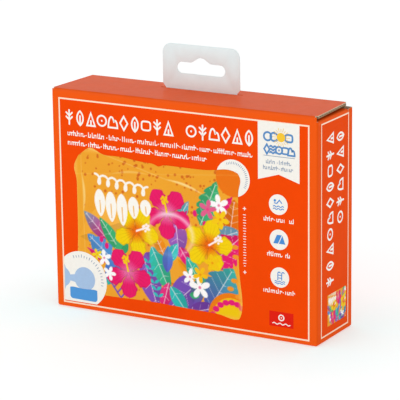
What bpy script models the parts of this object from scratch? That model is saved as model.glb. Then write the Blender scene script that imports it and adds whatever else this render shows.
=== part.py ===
"""Boxed camp pillow: a tuck-top carton of micro-flute board with a sliding plastic hang tab, and in it the
folded inflatable pillow with its valve, a leaflet and a repair patch. Metres, +Z up, front towards -Y,
origin at the centre of the carton's underside."""
import math

import bmesh
import bpy
from mathutils import Vector

# Pillow, flat and deflated, and how it is folded: in half across its width, then into leaves along its length.
PILLOW_LENGTH = 0.370
PILLOW_WIDTH = 0.300
LEAVES = 4
LEAF_PITCH = 0.006  # from one leaf's middle to the next
FILM = 0.0006  # a sheet with the air that clings to it
FILM_GAP = 0.0003
FOLD_STEPS = 8

# Board, creases and running gaps.
BOARD = 0.0016
GAP = 0.0003
LID_ROOM = 0.0016  # between the closed lid and the dust flaps
LID_TAPER = 0.0020  # on each side, from the lid's hinge to its rear crease
CREASE_RADIUS = 0.0018
MITRE_GAP = 0.0002

# Room round the folded pillow, which sets the carton's size.
SIDE_ROOM = 0.0084
HEAD_ROOM = 0.0296
REAR_ROOM = 0.0189

# Flaps.
DUST_FLAP_LENGTH = 0.036
DUST_FLAP_TAPER = 0.50  # slope of the edge beside the lid's crease, which lets lid and flap open together
DUST_FLAP_REAR_TAPER = 0.12
TUCK_LENGTH = 0.016
TUCK_LEAN = math.radians(20)  # past square, towards the pillow
TUCK_INSET = 0.003
TUCK_CORNER = 0.009
GLUE_FLAP_WIDTH = 0.015
GLUE_FLAP_TAPER = 0.004
GLUE_FLAP_SHORT = 0.0045  # below the side panel's top, out of the tuck flap's way
LOCK_STEP = 0.006  # how far the bottom flaps' tongues reach past the middle

# Hang tab, a plastic sheet that slides in the lid's slot.
TAB_WIDTH = 0.050
TAB_SHEET = 0.0005
TAB_SHOWN = 0.026
TAB_CORNER = 0.0055
TAB_HIDDEN = 0.024
TAB_SHOULDER = 0.005
TAB_BEHIND_PILLOW = 0.0064
TAB_OFFSET = -0.0033  # of the tab and its slot from the carton's middle
TAB_SLOT_LENGTH_ROOM = 0.0018
TAB_SLOT_ROOM = 0.00035
PEG_SLOT_LENGTH = 0.031
PEG_SLOT_HEIGHT = 0.0064
PEG_HUMP_HEIGHT = 0.0031
PEG_HUMP_WIDTH = 0.0135
PEG_SLOT_BELOW_TOP = 0.0167  # from the tab's top edge to the slot's lower edge

# Valve, near a corner of the pillow, on the rear face of the folded pack.
VALVE_FROM_EDGE = 0.030
VALVE_FROM_TOP = 0.026
VALVE_FLANGE_R = 0.010
VALVE_FLANGE = 0.0008
VALVE_STEM_R = 0.0042
VALVE_BORE_R = 0.0028
VALVE_HEIGHT = 0.0042
PLUG_R = 0.0048
PLUG_CAP = 0.0010
PLUG_STUB = 0.0022
PLUG_STUB_R = 0.0024
PLUG_TIP_R = 0.0015
PLUG_LIP = 0.0015
STRAP_WIDTH = 0.0036
STRAP_THICKNESS = 0.0006
HINGE_REACH = 0.0075
HINGE_HEIGHT = 0.0026
FLAP_SHEET = 0.0004
FLAP_HEIGHT = 0.0006

# Paper in the pack.
LEAFLET_WIDTH = 0.105
LEAFLET_SHOWN = 0.008
LEAFLET_THICKNESS = 0.0008
PATCH_SIDE = 0.045
PATCH_THICKNESS = 0.0006
PATCH_FROM_SIDE = 0.018
PATCH_SHOWN = 0.004

ROUND_STEPS = 28

# Worked out from the values above.
FLOCKED_INNER = FILM_GAP
PRINTED_INNER = FLOCKED_INNER + FILM + FILM_GAP
LEAF_HALF = PRINTED_INNER + FILM
FOLD_RADIUS = LEAF_PITCH / 2
LEAF_STRAIGHT = (PILLOW_LENGTH - (LEAVES - 1) * math.pi * FOLD_RADIUS) / LEAVES
PACK_WIDTH = PILLOW_WIDTH / 2
PACK_HEIGHT = LEAF_STRAIGHT + 2 * (FOLD_RADIUS + LEAF_HALF)
PACK_DEPTH = (LEAVES - 1) * LEAF_PITCH + 2 * LEAF_HALF
WIDTH = PACK_WIDTH + 2 * (SIDE_ROOM + BOARD)
DEPTH = PACK_DEPTH + GAP + REAR_ROOM + 2 * BOARD
HEIGHT = BOARD + GAP + PACK_HEIGHT + HEAD_ROOM + BOARD + GAP + BOARD
FRONT = -DEPTH / 2
REAR = DEPTH / 2
SIDE = WIDTH / 2
SIDE_HEIGHT = HEIGHT - BOARD - LID_ROOM
SEAM_Y = REAR - BOARD - GAP  # outer face of the glue flap, and the lid's rear crease
PACK_FRONT = FRONT + BOARD + GAP
PACK_REAR = PACK_FRONT + PACK_DEPTH
PACK_BOTTOM = BOARD + GAP
PACK_TOP = PACK_BOTTOM + PACK_HEIGHT
TAB_Y = PACK_REAR + TAB_BEHIND_PILLOW
PEG_Z = HEIGHT + TAB_SHOWN - PEG_SLOT_BELOW_TOP
VALVE_X = -PACK_WIDTH / 2 + VALVE_FROM_EDGE
VALVE_Y = PACK_REAR + GAP
VALVE_Z = PACK_TOP - VALVE_FROM_TOP

# Where each moving piece turns or slides: its object's origin.
LID_HINGE = Vector((0, FRONT, HEIGHT))
TUCK_HINGE = Vector((0, SEAM_Y, HEIGHT))
DUST_HINGE_RIGHT = Vector((SIDE, 0, SIDE_HEIGHT))
DUST_HINGE_LEFT = Vector((-SIDE, 0, SIDE_HEIGHT))
TAB_SEAT = Vector((TAB_OFFSET, TAB_Y, HEIGHT))
PACK_SEAT = Vector((0, (PACK_FRONT + PACK_REAR) / 2, PACK_BOTTOM))
PLUG_HINGE = Vector((VALVE_X, VALVE_Y + HINGE_HEIGHT, VALVE_Z + HINGE_REACH))
PIVOTS = {
    "lid_panel": LID_HINGE,
    "lid_tuck_flap": TUCK_HINGE,
    "top_dust_flap_right": DUST_HINGE_RIGHT,
    "top_dust_flap_left": DUST_HINGE_LEFT,
    "hang_tab": TAB_SEAT,
    "valve_plug": PLUG_HINGE,
}
CARRIED = {
    "lid_panel": ("lid_tuck_flap", "hang_tab"),
    "pillow_pack": (
        "pillow_printed_sheet",
        "pillow_flocked_sheet",
        "valve_body",
        "valve_flap",
        "valve_plug",
        "instruction_leaflet",
        "repair_patch",
    ),
}

ORANGE = (0.86, 0.17, 0.035)
KRAFT = (0.45, 0.33, 0.22)


def clear_scene():
    for thing in list(bpy.data.objects):
        bpy.data.objects.remove(thing)


def material(name, colour, roughness, alpha=1.0):
    made = bpy.data.materials.get(name)
    if made is None:
        made = bpy.data.materials.new(name)
        made.use_nodes = True
        shader = made.node_tree.nodes["Principled BSDF"]
        shader.inputs["Base Color"].default_value = (*colour, 1.0)
        shader.inputs["Roughness"].default_value = roughness
        shader.inputs["Metallic"].default_value = 0.0
        shader.inputs["Alpha"].default_value = alpha
    return made


def add_object(name, bm, finish, smooth_angle=None):
    """Makes an object of a bmesh in world coordinates, with its faces turned outwards, its finish and its pivot."""
    bmesh.ops.recalc_face_normals(bm, faces=bm.faces)
    pivot = PIVOTS.get(name, Vector((0, 0, 0)))
    bmesh.ops.translate(bm, verts=bm.verts, vec=-pivot)
    mesh = bpy.data.meshes.new(name)
    bm.to_mesh(mesh)
    bm.free()
    if smooth_angle is not None:
        mesh.shade_smooth()
        mesh.set_sharp_from_angle(angle=smooth_angle)
    thing = bpy.data.objects.new(name, mesh)
    thing.location = pivot
    bpy.context.scene.collection.objects.link(thing)
    if finish is not None:
        mesh.materials.append(finish)
    return thing


def loft(bm, rings, closed=False):
    """Joins rings of points, each of the same count, with quads; the ends get caps unless the loft is closed."""
    rows = [[bm.verts.new(p) for p in ring] for ring in rings]
    pairs = list(zip(rows, rows[1:]))
    if closed:
        pairs.append((rows[-1], rows[0]))
    for low, high in pairs:
        for i in range(len(low)):
            j = (i + 1) % len(low)
            bm.faces.new((low[i], low[j], high[j], high[i]))
    if not closed:
        bm.faces.new(rows[0])
        bm.faces.new(rows[-1])


def corner_arc(centre, radius, start, end, steps=5):
    """Points of an arc in a plane, angles in degrees."""
    return [
        (
            centre[0] + radius * math.cos(math.radians(start + (end - start) * i / steps)),
            centre[1] + radius * math.sin(math.radians(start + (end - start) * i / steps)),
        )
        for i in range(steps + 1)
    ]


def inset_outline(outline, creases, inset):
    """The outline with each creased edge moved inwards by inset(angle), corners where the moved edges meet."""
    count = len(outline)
    area = sum(
        outline[i][0] * outline[(i + 1) % count][1] - outline[(i + 1) % count][0] * outline[i][1]
        for i in range(count)
    )
    turn = 1 if area > 0 else -1
    lines = []
    for i in range(count):
        a, b = Vector(outline[i]), Vector(outline[(i + 1) % count])
        along = (b - a).normalized()
        inward = Vector((-along.y, along.x)) * turn
        move = inset(creases[i]) if i in creases else 0.0
        lines.append((a + inward * move, along))
    points = []
    for i in range(count):
        (p, d), (q, e) = lines[i - 1], lines[i]
        cross = d.x * e.y - d.y * e.x
        if abs(cross) < 1e-6:
            points.append(tuple(q))
        else:
            t = ((q.x - p.x) * e.y - (q.y - p.y) * e.x) / cross
            points.append(tuple(p + d * t))
    return points


def crease_rings(radius):
    """(depth, inset as a function of the crease's inner angle) of each ring from the outer face to the inner one."""
    rings = []
    for share in (0, 0.34, 0.67, 1):
        turn = math.radians(45 * share)
        depth = radius * (1 - math.cos(turn))
        rounded = radius * (1 - math.sin(turn))
        rings.append(
            (
                depth,
                lambda angle, d=depth, r=rounded: max(r, MITRE_GAP + d / math.tan(math.radians(angle / 2))),
            )
        )
    rings.append((BOARD, lambda angle: MITRE_GAP + BOARD / math.tan(math.radians(angle / 2))))
    return rings


def panel(name, outline, creases, origin, across, along, inward, finish=None):
    """A board panel. outline is in the plane of across and along; creases maps the index of each folded edge to the
    inner angle of its fold. Folded edges are rounded outside and mitred, so that neighbours open freely."""
    bm = bmesh.new()
    origin, across, along, inward = (Vector(v) for v in (origin, across, along, inward))
    rings = []
    for depth, inset in crease_rings(CREASE_RADIUS):
        flat = inset_outline(outline, creases, inset)
        rings.append([origin + across * a + along * b + inward * depth for a, b in flat])
    loft(bm, rings)
    return add_object(name, bm, finish or material("printed_board", ORANGE, 0.45))


def extruded(name, outline, origin, across, along, through, finish, thickness):
    """A sheet of even thickness with that outline, from origin in the direction through."""
    bm = bmesh.new()
    origin, across, along, through = (Vector(v) for v in (origin, across, along, through))
    rings = [
        [origin + across * a + along * b + through * d for a, b in outline] for d in (0, thickness)
    ]
    loft(bm, rings)
    return add_object(name, bm, finish)


def turned(name, profile, origin, finish, closed=True):
    """A body turned about the +Y axis through origin, from (radius, height) points. A closed profile has a bore."""
    bm = bmesh.new()
    rings = []
    for i in range(ROUND_STEPS):
        a = 2 * math.pi * i / ROUND_STEPS
        rings.append([Vector(origin) + Vector((r * math.cos(a), h, r * math.sin(a))) for r, h in profile])
    if closed:
        loft(bm, rings, closed=True)
    else:
        # Rings round the axis instead, with flat ends.
        loft(bm, [list(ring) for ring in zip(*rings)])
    return add_object(name, bm, finish, smooth_angle=math.radians(35))


def cut(target, cutter):
    cutter.hide_render = True
    cutter.display_type = "WIRE"
    modifier = target.modifiers.new("cut", "BOOLEAN")
    modifier.operation = "DIFFERENCE"
    modifier.solver = "EXACT"
    modifier.object = cutter


def join_to(target, other):
    other.hide_render = True
    other.display_type = "WIRE"
    modifier = target.modifiers.new("join", "BOOLEAN")
    modifier.operation = "UNION"
    modifier.solver = "EXACT"
    modifier.object = other


# ---- Carton walls -------------------------------------------------------------------------------------------------

SQUARE = 90.0


def rectangle(low_a, high_a, low_b, high_b):
    """Corners in order: edge 0 is at low_b, edge 1 at high_a, edge 2 at high_b and edge 3 at low_a."""
    return [(low_a, low_b), (high_a, low_b), (high_a, high_b), (low_a, high_b)]


def build_walls():
    folds = {0: SQUARE, 1: SQUARE, 2: SQUARE, 3: SQUARE}
    panel("front_panel", rectangle(-SIDE, SIDE, 0, HEIGHT), folds, (0, FRONT, 0), (1, 0, 0), (0, 0, 1), (0, 1, 0))
    panel(
        "right_panel", rectangle(FRONT, REAR, 0, SIDE_HEIGHT), folds, (SIDE, 0, 0), (0, 1, 0), (0, 0, 1), (-1, 0, 0)
    )
    panel(
        "left_panel", rectangle(FRONT, SEAM_Y, 0, SIDE_HEIGHT), folds, (-SIDE, 0, 0), (0, 1, 0), (0, 0, 1), (1, 0, 0)
    )
    # The back panel ends in a cut edge at the top, and at the left, where it is glued over the glue flap.
    panel(
        "back_panel",
        rectangle(-SIDE, SIDE, 0, HEIGHT - GAP),
        {0: SQUARE, 1: SQUARE},
        (0, REAR, 0),
        (1, 0, 0),
        (0, 0, 1),
        (0, -1, 0),
    )
    low, high = PACK_BOTTOM, SIDE_HEIGHT - BOARD - GLUE_FLAP_SHORT
    glue = [
        (-SIDE, low),
        (-SIDE + GLUE_FLAP_WIDTH, low + GLUE_FLAP_TAPER),
        (-SIDE + GLUE_FLAP_WIDTH, high - GLUE_FLAP_TAPER),
        (-SIDE, high),
    ]
    panel("glue_flap", glue, {3: SQUARE}, (0, SEAM_Y, 0), (1, 0, 0), (0, 0, 1), (0, -1, 0))


def build_bottom():
    """Four flaps that meet as in an auto-lock bottom: the long ones interlock along a stepped line."""
    half = DEPTH / 2
    near, far = half - GAP / 2, GAP / 2
    middle = SIDE - half
    step = LOCK_STEP
    third = middle / 3
    # The seam runs from left to right, stepping towards the rear and then towards the front.
    seam = [
        (-middle, 0.0),
        (-middle + third, 0.0),
        (-middle + third, step),
        (-third / 2, step),
        (third / 2, -step),
        (middle - third, -step),
        (middle - third, 0.0),
        (middle, 0.0),
    ]
    for name, sign in (("bottom_front_flap", 1), ("bottom_back_flap", -1)):
        y0 = FRONT if sign > 0 else REAR
        mitre = GAP * 0.75
        line = [(x, (half - far) + sign * y) for x, y in seam]
        line[0] = (-middle + mitre, near)
        line[-1] = (middle - mitre, near)
        line = stepped_clear(line)
        outline = [(-SIDE + mitre, 0.0), (SIDE - mitre, 0.0)] + line[::-1]
        panel(name, outline, {0: SQUARE}, (0, y0, 0), (1, 0, 0), (0, sign, 0), (0, 0, 1))
    for name, sign in (("bottom_right_flap", 1), ("bottom_left_flap", -1)):
        rear = REAR if sign > 0 else SEAM_Y
        slip = GAP * 0.75
        tip = half - 2 * slip
        outline = [(FRONT + slip, 0.0), (rear - slip, 0.0), (slip, tip), (-slip, tip)]
        panel(name, outline, {0: SQUARE}, (sign * SIDE, 0, 0), (0, 1, 0), (-sign, 0, 0), (0, 0, 1))


def stepped_clear(line):
    """Keeps the seam's steps apart by shifting each upright stretch half a gap towards its own flap."""
    clear = []
    for i, (x, y) in enumerate(line):
        before, after = line[max(i - 1, 0)], line[min(i + 1, len(line) - 1)]
        rises = after[1] > y + 1e-6 or y > before[1] + 1e-6
        falls = after[1] < y - 1e-6 or y < before[1] - 1e-6
        shift = GAP / 2 if rises else (-GAP / 2 if falls else 0.0)
        clear.append((x + (shift if 0 < i < len(line) - 1 else 0.0), y))
    return clear


# ---- Top closure --------------------------------------------------------------------------------------------------


def build_lid():
    reach = SEAM_Y - FRONT
    edge = SIDE - GAP
    lid = panel(
        "lid_panel",
        [(-edge, 0.0), (edge, 0.0), (edge - LID_TAPER, reach), (LID_TAPER - edge, reach)],
        {0: SQUARE, 2: SQUARE - math.degrees(TUCK_LEAN)},
        (0, FRONT, HEIGHT),
        (1, 0, 0),
        (0, 1, 0),
        (0, 0, -1),
    )
    half = TAB_WIDTH / 2 + TAB_SLOT_LENGTH_ROOM
    side = TAB_SHEET / 2 + TAB_SLOT_ROOM
    slot = extruded(
        "lid_slot_cutter",
        rectangle(-half, half, TAB_Y - side, TAB_Y + side),
        (TAB_OFFSET, 0, HEIGHT - 2 * BOARD),
        (1, 0, 0),
        (0, 1, 0),
        (0, 0, 1),
        None,
        3 * BOARD,
    )
    cut(lid, slot)
    edge = SIDE - TUCK_INSET
    tuck = (
        [(-edge, 0.0), (edge, 0.0)]
        + corner_arc((edge - TUCK_CORNER, TUCK_LENGTH - TUCK_CORNER), TUCK_CORNER, 0, 90)
        + corner_arc((-edge + TUCK_CORNER, TUCK_LENGTH - TUCK_CORNER), TUCK_CORNER, 90, 180)
    )
    lean = TUCK_LEAN
    panel(
        "lid_tuck_flap",
        tuck,
        {0: SQUARE - math.degrees(lean)},
        (0, SEAM_Y, HEIGHT),
        (1, 0, 0),
        (0, -math.sin(lean), -math.cos(lean)),
        (0, -math.cos(lean), math.sin(lean)),
    )


def build_dust_flaps():
    front = FRONT + BOARD + GAP
    # The rear edge stays in front of the leaning tuck flap.
    under_lid = 2 * BOARD + LID_ROOM
    rear = SEAM_Y - BOARD / math.cos(TUCK_LEAN) - under_lid * math.tan(TUCK_LEAN) - GAP
    start = 0.002
    tip = DUST_FLAP_LENGTH
    slant = front + (tip - start) * DUST_FLAP_TAPER
    outline = [
        (front, 0.0),
        (rear, 0.0),
        (rear - DUST_FLAP_REAR_TAPER * tip, tip - 0.006),
        (rear - DUST_FLAP_REAR_TAPER * tip - 0.004, tip),
        (slant + 0.003, tip),
        (slant - 0.001, tip - 0.003),
        (front, start),
    ]
    for name, sign in (("top_dust_flap_right", 1), ("top_dust_flap_left", -1)):
        panel(name, outline, {0: SQUARE}, (sign * SIDE, 0, SIDE_HEIGHT), (0, 1, 0), (-sign, 0, 0), (0, 0, -1))


# ---- Hang tab -----------------------------------------------------------------------------------------------------


def peg_slot_outline():
    """A long rounded slot with a hump in the middle of its upper edge."""
    half, high = PEG_SLOT_LENGTH / 2, PEG_SLOT_HEIGHT
    end = high / 2
    hump, top = PEG_HUMP_WIDTH / 2, PEG_HUMP_HEIGHT
    points = corner_arc((half - end, end), end, -90, 90, 8)
    # The hump rises and falls as one cosine wave with a flattened foot.
    steps = 10
    for i in range(steps + 1):
        share = 1 - 2 * i / steps
        points.append((hump * share, high + top * (0.5 + 0.5 * math.cos(math.pi * share)) ** 0.8))
    points += corner_arc((-half + end, end), end, 90, 270, 8)
    return points


def build_hang_tab():
    half = TAB_WIDTH / 2
    wide = half + TAB_SHOULDER
    top = HEIGHT + TAB_SHOWN
    shoulder = HEIGHT - BOARD - GAP
    low = shoulder - TAB_HIDDEN
    r = TAB_CORNER
    outline = (
        corner_arc((wide - r, low + r), r, -90, 0)
        + [(wide, shoulder), (half, shoulder)]
        + corner_arc((half - r, top - r), r, 0, 90)
        + corner_arc((-half + r, top - r), r, 90, 180)
        + [(-half, shoulder), (-wide, shoulder)]
        + corner_arc((-wide + r, low + r), r, 180, 270)
    )
    y0 = TAB_Y - TAB_SHEET / 2
    finish = material("frosted_plastic", (0.86, 0.85, 0.84), 0.3)
    tab = extruded("hang_tab", outline, (TAB_OFFSET, y0, 0), (1, 0, 0), (0, 0, 1), (0, 1, 0), finish, TAB_SHEET)
    slot = extruded(
        "peg_slot_cutter",
        peg_slot_outline(),
        (TAB_OFFSET, y0 - TAB_SHEET, PEG_Z),
        (1, 0, 0),
        (0, 0, 1),
        (0, 1, 0),
        None,
        3 * TAB_SHEET,
    )
    cut(tab, slot)


# ---- Folded pillow ------------------------------------------------------------------------------------------------


def leaf_path():
    """(y, z, normal y, normal z) along the middle of the leaves, from the front leaf's top edge to the rear leaf's."""
    low = PACK_BOTTOM + FOLD_RADIUS + LEAF_HALF
    high = low + LEAF_STRAIGHT
    path = []
    for leaf in range(LEAVES):
        y = PACK_FRONT + LEAF_HALF + leaf * LEAF_PITCH
        down = leaf % 2 == 0
        normal = -1 if down else 1
        ends = (high, low) if down else (low, high)
        path += [(y, ends[0], normal, 0), (y, ends[1], normal, 0)]
        if leaf == LEAVES - 1:
            break
        for i in range(1, FOLD_STEPS):
            turn = math.pi * i / FOLD_STEPS
            away = -1 if down else 1
            path.append(
                (
                    y + FOLD_RADIUS * (1 - math.cos(turn)),
                    ends[1] + away * FOLD_RADIUS * math.sin(turn),
                    normal * math.cos(turn),
                    -math.sin(turn),
                )
            )
    return path


def half_fold(distance):
    """(x, distance from the leaf's middle) across the pillow: the front half, the fold on the right, the rear half."""
    bend = PACK_WIDTH / 2 - LEAF_HALF
    path = [(-PACK_WIDTH / 2, distance), (bend, distance)]
    for i in range(1, FOLD_STEPS):
        turn = math.pi * i / FOLD_STEPS
        path.append((bend + distance * math.sin(turn), distance * math.cos(turn)))
    return path + [(bend, -distance), (-PACK_WIDTH / 2, -distance)]


def folded_sheet(name, inner, finish):
    """One sheet of the pillow, folded with the other, as a closed skin between inner and inner + FILM."""
    bm = bmesh.new()
    skins = []
    for distance in (inner, inner + FILM):
        across = half_fold(distance)
        skins.append([[bm.verts.new((x, y + w * ny, z + w * nz)) for x, w in across] for y, z, ny, nz in leaf_path()])
    inside, outside = skins
    rows, columns = len(inside), len(inside[0])
    for skin in skins:
        for i in range(rows - 1):
            for j in range(columns - 1):
                bm.faces.new((skin[i][j], skin[i + 1][j], skin[i + 1][j + 1], skin[i][j + 1]))
    for i in range(rows - 1):
        for j in (0, columns - 1):
            bm.faces.new((inside[i][j], inside[i + 1][j], outside[i + 1][j], outside[i][j]))
    for j in range(columns - 1):
        for i in (0, rows - 1):
            bm.faces.new((inside[i][j], inside[i][j + 1], outside[i][j + 1], outside[i][j]))
    return add_object(name, bm, finish, smooth_angle=math.radians(40))


def build_pillow():
    folded_sheet("pillow_printed_sheet", PRINTED_INNER, material("printed_pvc", (0.95, 0.48, 0.10), 0.25))
    folded_sheet("pillow_flocked_sheet", FLOCKED_INNER, material("flocked_pvc", (0.86, 0.34, 0.06), 0.9))


def build_valve():
    clear_pvc = material("valve_pvc", (0.95, 0.62, 0.30), 0.3)
    centre = (VALVE_X, VALVE_Y, VALVE_Z)
    body = turned(
        "valve_body",
        [
            (VALVE_BORE_R, 0),
            (VALVE_FLANGE_R, 0),
            (VALVE_FLANGE_R, VALVE_FLANGE * 0.5),
            (VALVE_FLANGE_R - 0.001, VALVE_FLANGE),
            (VALVE_STEM_R + 0.0006, VALVE_FLANGE),
            (VALVE_STEM_R, VALVE_FLANGE + 0.0006),
            (VALVE_STEM_R, VALVE_HEIGHT),
            (VALVE_BORE_R, VALVE_HEIGHT),
        ],
        centre,
        clear_pvc,
    )
    # A low nub on the flange carries the plug's strap.
    nub = extruded(
        "strap_nub",
        rectangle(-STRAP_WIDTH / 2, STRAP_WIDTH / 2, HINGE_REACH - 0.0006, HINGE_REACH + 0.0006),
        (VALVE_X, VALVE_Y + VALVE_FLANGE / 2, VALVE_Z),
        (1, 0, 0),
        (0, 0, 1),
        (0, 1, 0),
        None,
        HINGE_HEIGHT - VALVE_FLANGE / 2 - 2 * GAP,
    )
    join_to(body, nub)
    cap = VALVE_HEIGHT + GAP
    plug = turned(
        "valve_plug",
        [
            (PLUG_TIP_R, cap - PLUG_STUB),
            (PLUG_STUB_R, cap),
            (PLUG_R, cap),
            (PLUG_R, cap + PLUG_CAP * 0.7),
            (PLUG_R - 0.0003, cap + PLUG_CAP),
        ],
        centre,
        clear_pvc,
        closed=False,
    )
    strap_side = extruded(
        "plug_strap",
        [
            (PLUG_R - 0.001, cap),
            (HINGE_REACH - STRAP_THICKNESS / 2, cap),
            (HINGE_REACH - STRAP_THICKNESS / 2, HINGE_HEIGHT + GAP),
            (HINGE_REACH + STRAP_THICKNESS / 2, HINGE_HEIGHT + GAP),
            (HINGE_REACH + STRAP_THICKNESS / 2, cap + STRAP_THICKNESS),
            (PLUG_R - 0.001, cap + STRAP_THICKNESS),
        ],
        (VALVE_X - STRAP_WIDTH / 2, VALVE_Y, VALVE_Z),
        (0, 0, 1),
        (0, 1, 0),
        (1, 0, 0),
        None,
        STRAP_WIDTH,
    )
    join_to(plug, strap_side)
    lip = extruded(
        "plug_lip",
        rectangle(-0.002, 0.002, -PLUG_R - PLUG_LIP, -PLUG_R + 0.0012),
        (VALVE_X, VALVE_Y + cap + 0.0002, VALVE_Z),
        (1, 0, 0),
        (0, 0, 1),
        (0, 1, 0),
        None,
        STRAP_THICKNESS,
    )
    join_to(plug, lip)
    turned(
        "valve_flap",
        [(VALVE_BORE_R - GAP, FLAP_HEIGHT), (VALVE_BORE_R - GAP, FLAP_HEIGHT + FLAP_SHEET)],
        centre,
        clear_pvc,
        closed=False,
    )


def build_papers():
    pocket = PACK_FRONT + LEAF_HALF  # the front leaf's middle
    low = PACK_BOTTOM + FOLD_RADIUS + LEAF_HALF
    # The leaflet lies against the second leaf, the patch against the last one.
    leaflet_y = pocket + LEAF_PITCH - LEAF_HALF - GAP - LEAFLET_THICKNESS
    half = LEAFLET_WIDTH / 2
    extruded(
        "instruction_leaflet",
        rectangle(-half, half, low, PACK_TOP + LEAFLET_SHOWN),
        (0, leaflet_y, 0),
        (1, 0, 0),
        (0, 0, 1),
        (0, 1, 0),
        material("paper", (0.92, 0.91, 0.88), 0.7),
        LEAFLET_THICKNESS,
    )
    patch_y = pocket + (LEAVES - 1) * LEAF_PITCH - LEAF_HALF - GAP - PATCH_THICKNESS
    right = PACK_WIDTH / 2 - PATCH_FROM_SIDE
    top = PACK_TOP + PATCH_SHOWN
    extruded(
        "repair_patch",
        rectangle(right - PATCH_SIDE, right, top - PATCH_SIDE, top),
        (0, patch_y, 0),
        (1, 0, 0),
        (0, 0, 1),
        (0, 1, 0),
        material("patch_pvc", (0.95, 0.52, 0.14), 0.3),
        PATCH_THICKNESS,
    )


def carry():
    """Parents each carried piece to the lid or to the folded pillow's empty, where it stands."""
    pack = bpy.data.objects.new("pillow_pack", None)
    pack.location = PACK_SEAT
    bpy.context.scene.collection.objects.link(pack)
    for carrier, pieces in CARRIED.items():
        parent = bpy.data.objects[carrier]
        for piece in pieces:
            child = bpy.data.objects[piece]
            child.location -= parent.location
            child.parent = parent


def main():
    clear_scene()
    build_walls()
    build_bottom()
    build_lid()
    build_dust_flaps()
    build_hang_tab()
    build_pillow()
    build_valve()
    build_papers()
    carry()


main()
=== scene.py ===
import math

import bmesh
import bpy
import numpy as np
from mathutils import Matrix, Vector


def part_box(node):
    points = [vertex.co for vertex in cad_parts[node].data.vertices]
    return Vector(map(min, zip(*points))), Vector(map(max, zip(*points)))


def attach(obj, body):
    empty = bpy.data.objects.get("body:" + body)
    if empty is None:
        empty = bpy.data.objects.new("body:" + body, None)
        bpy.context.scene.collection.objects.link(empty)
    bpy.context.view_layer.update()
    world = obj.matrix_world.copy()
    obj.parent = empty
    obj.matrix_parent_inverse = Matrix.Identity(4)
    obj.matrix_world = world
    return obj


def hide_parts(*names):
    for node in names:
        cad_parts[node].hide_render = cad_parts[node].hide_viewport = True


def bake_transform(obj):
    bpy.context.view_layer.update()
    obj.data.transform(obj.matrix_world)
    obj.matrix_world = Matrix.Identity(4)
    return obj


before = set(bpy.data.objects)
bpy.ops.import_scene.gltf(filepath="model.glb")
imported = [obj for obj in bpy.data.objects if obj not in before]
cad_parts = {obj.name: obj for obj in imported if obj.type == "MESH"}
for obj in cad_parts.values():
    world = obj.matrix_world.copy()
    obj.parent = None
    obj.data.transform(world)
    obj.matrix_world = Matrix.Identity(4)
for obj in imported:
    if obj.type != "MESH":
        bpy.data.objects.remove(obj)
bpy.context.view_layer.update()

# ---- Sizes, read from the frame where it has them ----

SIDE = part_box("right_panel")[1][0]
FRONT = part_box("front_panel")[0][1]
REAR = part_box("back_panel")[1][1]
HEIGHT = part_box("lid_panel")[1][2]
SIDE_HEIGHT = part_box("top_dust_flap_right")[1][2]
SEAM_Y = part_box("glue_flap")[1][1]
TAB_LOW, TAB_HIGH = (Vector(v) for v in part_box("hang_tab"))
VALVE_LOW, VALVE_HIGH = (Vector(v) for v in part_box("valve_body"))
PACK_LOW, PACK_HIGH = (Vector(v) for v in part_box("pillow_printed_sheet"))

BOARD = 0.0016
GAP = 0.0003  # between pieces that touch
LINER = 0.00036
MEDIUM = 0.00028  # the waved paper's thickness
FLUTE_PITCH = 0.0030
FLUTE_STEPS = 10  # points in each wave
SLIP = 0.00004  # keeps neighbouring surfaces apart
CREASE_RADIUS = 0.0012
CREASE_FLAT = 0.0007  # on each side of a crease's bend
FOLD = CREASE_RADIUS + CREASE_FLAT
CREASE_BOARD = 0.0006  # board left in a crease
CORNER_BOARD = 0.0009  # board left in an upright corner
LID_TAPER = 0.0020  # on each side, from the hinge to the rear
TUCK_LEAN = math.radians(20)
TUCK_INSET = 0.003
TUCK_LENGTH = 0.016
TUCK_CORNER = 0.009
TAB_OFFSET = (TAB_LOW.x + TAB_HIGH.x) / 2
TAB_Y = (TAB_LOW.y + TAB_HIGH.y) / 2
TAB_WIDTH = 0.050
BACK_DROP = 0.0008  # of the back panel's raw edge below the lid
BACK_NOTCH = 0.0042  # cut from the back panel's corner beside the lid
MM = 0.001


# ---- Materials ----


def linear(rgb):
    """Linear colour of an sRGB one given from 0 to 255."""
    shares = [c / 255 for c in rgb]
    return tuple((v / 12.92 if v <= 0.04045 else ((v + 0.055) / 1.055) ** 2.4) for v in shares)


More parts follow.
